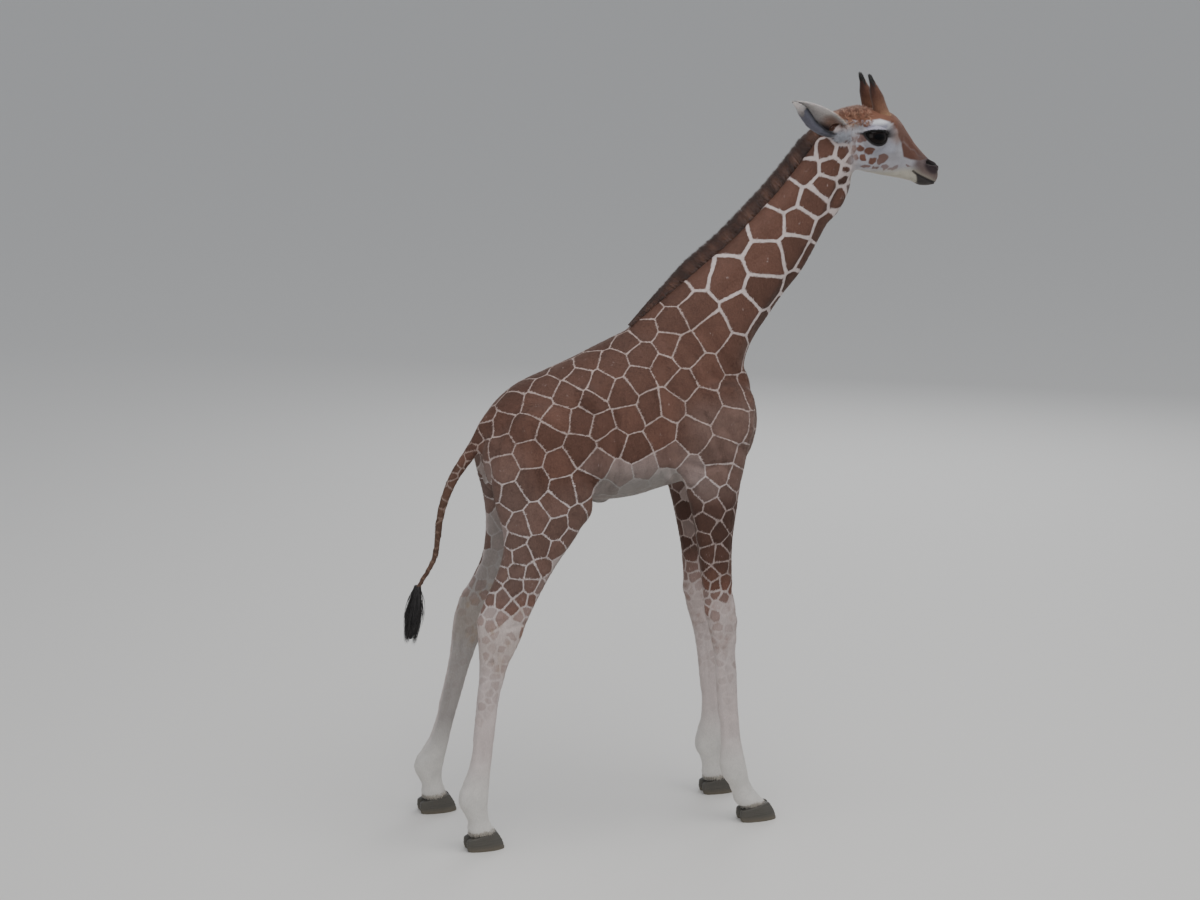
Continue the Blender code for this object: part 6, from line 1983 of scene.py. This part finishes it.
# %% [markdown]
# ## Tail switch
# The switch is a bunch of long, black, slightly wavy hair on the end of the tail, with stray
# wisps below. Each lock starts on the last part of the tail and follows the bunch's bulge.

# %% Switch
count = 1500
start = draw.uniform(0, 1, count) ** 0.8
spine = np.array(((-0.527, 0.712), (-0.535, 0.680), (-0.541, 0.640), (-0.546, 0.600), (-0.552, 0.560)))
around = draw.uniform(0, 2 * math.pi, count)
top_x = np.interp(start, (0, 1), (-0.5275, -0.534))
top_z = np.interp(start, (0, 1), (0.728, 0.672))
root_p = np.stack([top_x + 0.0095 * np.cos(around), 0.0085 * np.sin(around), top_z], 1)
bunch = draw.integers(0, 22, count)
bunch_angle, bunch_low = draw.uniform(0, 2 * math.pi, 22), draw.uniform(0.552, 0.612, 22)
around = np.where(draw.random(count) < 0.8, bunch_angle[bunch] + 0.22 * draw.normal(size=count), around)
target_z = np.where(draw.random(count) < 0.75, bunch_low[bunch] + draw.uniform(0, 0.030, count), draw.uniform(0.580, 0.640, count))
target_x = np.interp(-target_z, -spine[:, 1], spine[:, 0])
spread = np.interp(target_z, (0.552, 0.60, 0.64), (0.018, 0.026, 0.032)) * (0.45 + 0.55 * draw.random(count))
target = np.stack([target_x + spread * np.cos(around), spread * np.sin(around) * 0.9, target_z], 1)
gone = target - root_p
outward = np.stack([np.cos(around), np.sin(around), 0 * around], 1)
bend = outward * (draw.uniform(-0.026, -0.006, 22)[bunch])[:, None] + (0.010 * draw.normal(size=(22, 3)))[bunch] + 0.003 * draw.normal(size=root_p.shape)
long = np.linalg.norm(gone - bend, axis=1)
near_skin = skin_nearest(root_p)
switch, which, each = locks("tail_switch_hair", root_p, gone - bend, outward, long, draw.uniform(0.0018, 0.0034, count), bend, 6, uv=near_skin[:, 6:])
store(switch.data, "hair", "FLOAT_COLOR", (np.array((0.010, 0.0075, 0.0075)) * draw.uniform(0.6, 1.9, count)[:, None])[which])
switch.data.materials.append(black_brush)
bm = bmesh.new()
loft(bm, tail_rings(((-0.527, 0.716, 0.0085), (-0.531, 0.700, 0.0125), (-0.536, 0.665, 0.0185), (-0.541, 0.630, 0.0165), (-0.547, 0.592, 0.0085), (-0.550, 0.574, 0.0030))))
switch_core = new_piece("tail_switch_core", bm)
unwrap(switch_core)
store(switch_core.data, "hair", "FLOAT_COLOR", np.tile((0.006, 0.005, 0.005), (len(switch_core.data.vertices), 1)))
switch_core.data.materials.append(black_brush)
print("switch:", len(switch.data.polygons), "faces")

# %% [markdown]
# ## Hooves
# Each foot has two claws of dark horn. Fine rings give the wall its growth lines, and a fringe of
# pale hair falls over the coronet where the skin ends.

# %% Claws
def claw(name, foot, inner):
    side, heel, out = FEET[foot]
    slope = (CORONET_FRONT - CORONET_HEEL) / (HOOF_LENGTH * 0.72)
    half = (HOOF_WIDTH - CLEFT) / 4
    middle = side * out - side * inner * (half + CLEFT / 2)
    toward = side * inner
    rows = curve_through(((0.0, 0.955, 0.0), (0.03, 0.985, 0.0), (0.10, 1.0, 0.05), (0.35, 0.985, 0.30), (0.65, 0.955, 0.62),
                          (0.90, 0.925, 0.90), (0.99, 0.88, 1.0), (1.04, 0.76, 1.05)), 5)
    rings = []
    for i, (level, shrink, lean) in enumerate(rows):
        ridge = 0.0005 * math.sin(i * 1.9) * (0.1 < level < 1.0)
        loop = []
        for angle in np.linspace(0, 2 * math.pi, 40, endpoint=False):
            c, s = math.cos(angle), math.sin(angle)
            long = HOOF_LENGTH / 2 * (shrink - 0.10 * max(level - 0.45, 0) / 0.55) + ridge
            x = math.copysign(abs(c) ** 0.85, c) * long
            y = math.copysign(abs(s) ** 0.72, s) * (half * shrink + ridge)
            point = max(x / long, 0) ** 2
            y = y * (1 - 0.42 * point) + toward * half * 0.26 * point
            x += heel + HOOF_LENGTH / 2 - lean * 0.012
            top = CORONET_HEEL + (x - heel) * slope
            loop.append(Vector((x, middle + y, max(level, 0) * top)))
        rings.append(loop)
    bm = bmesh.new()
    loft(bm, rings)
    return new_piece(name, bm)


horn, tree, shader = new_material("hoof_horn", Roughness=0.5, Specular_IOR_Level=0.4)
band = noise(tree, stretched(tree, 5, 5, 230), 3.0, 2.0)
along_wall = noise(tree, stretched(tree, 260, 260, 12), 3.0, 2.0)
worn = ranged(tree, node(tree, "ShaderNodeSeparateXYZ").outputs[2], 0.0, 0.02)
height_split = worn.node.inputs[0].links[0].from_node
wire(tree, node(tree, "ShaderNodeTexCoord").outputs["Object"], height_split.inputs[0])
wall = mixed(tree, band, (0.040, 0.038, 0.033, 1), (0.105, 0.098, 0.084, 1))
wall = mixed(tree, maths(tree, "MULTIPLY", along_wall, 0.4), wall, (0.120, 0.105, 0.085, 1))
wire(tree, mixed(tree, worn, (0.135, 0.115, 0.085, 1), wall), shader.inputs["Base Color"])
bump = node(tree, "ShaderNodeBump")
bump.inputs["Strength"].default_value = 0.5
bump.inputs["Distance"].default_value = 0.0008
wire(tree, maths(tree, "ADD", band, along_wall), bump.inputs["Height"])
wire(tree, bump.outputs["Normal"], shader.inputs["Normal"])
claws = {}
for foot in FEET:
    for where_claw, inner_side in (("outer", -1), ("inner", 1)):
        claws[foot, where_claw] = claw(f"claw_{foot}_{where_claw}", foot, inner_side)
        claws[foot, where_claw].data.materials.append(horn)

# %% Fringe over the coronet
fringe_pieces = {}
for foot, (side, heel, out) in FEET.items():
    count = 900
    angle = draw.uniform(0, 2 * math.pi, count)
    x = heel + HOOF_LENGTH * 0.45 + HOOF_LENGTH * 0.40 * np.cos(angle)
    y = side * out + 0.030 * np.sin(angle)
    z = CORONET_HEEL + (x - heel) * 0.22 + draw.uniform(0.006, 0.020, count)
    near_skin = skin_nearest(np.stack([x, y, z], 1))
    p, n, uv = near_skin[:, :3], near_skin[:, 3:6], near_skin[:, 6:]
    way = unit(np.array((0.10, 0, -1.0)) + n * 0.42 + 0.16 * draw.normal(size=p.shape))
    long = draw.uniform(0.008, 0.015, count)
    made, which, each = locks(f"hoof_fringe_{foot}", p - n * 0.001, way, n, long, 0.0017, -n * 0.002, 2, uv=uv, soft=n)
    store(made.data, "hair", "FLOAT_COLOR", (rgb(196, 188, 176) * draw.uniform(0.6, 1.1, count)[:, None])[which])
    made.data.materials.append(fluff_hair)
    fringe_pieces[foot] = made
print("claws:", len(claws), "fringes:", len(fringe_pieces))

# %% Bodies the pieces stand for
FLESH = ["trunk", "neck", "head", "jaw", "tail"]
for side in ("left", "right"):
    FLESH += [f"shoulder_{side}", f"thigh_{side}", f"forearm_{side}", f"gaskin_{side}"]
    for end in ("fore", "hind"):
        FLESH += [f"cannon_{end}_{side}", f"pastern_{end}_{side}"]
publish(skin, "coat", *FLESH)
for made in coat_pieces + fluff_pieces + [crown]:
    publish(made, "coat")
for made in fringe_pieces.values():
    publish(made, "pale_coat")
publish(fin, "mane_hair")
publish(mane, "mane_hair", "mane")
publish(switch_core, "black_hair")
publish(switch, "black_hair", "tail_tuft")
for side, word in ((1, "left"), (-1, "right")):
    publish(eye_pieces[side], "eye", f"eye_{word}")
    publish(rim_pieces[side], "eye")
    publish(lash_pieces[side], "black_hair")
    publish(ear_pieces[word], "pale_coat", f"ear_{word}")
    publish(ear_hair_pieces[word], "pale_coat")
    publish(horn_pieces[word], "ossicone_coat", f"ossicone_{word}")
    publish(brush_pieces[word][0], "ossicone_coat")
    publish(brush_pieces[word][1], "black_hair", f"ossicone_tuft_{word}")
for (foot, where_claw), made in claws.items():
    publish(made, "hoof_horn", f"hoof_{foot}_{where_claw}")
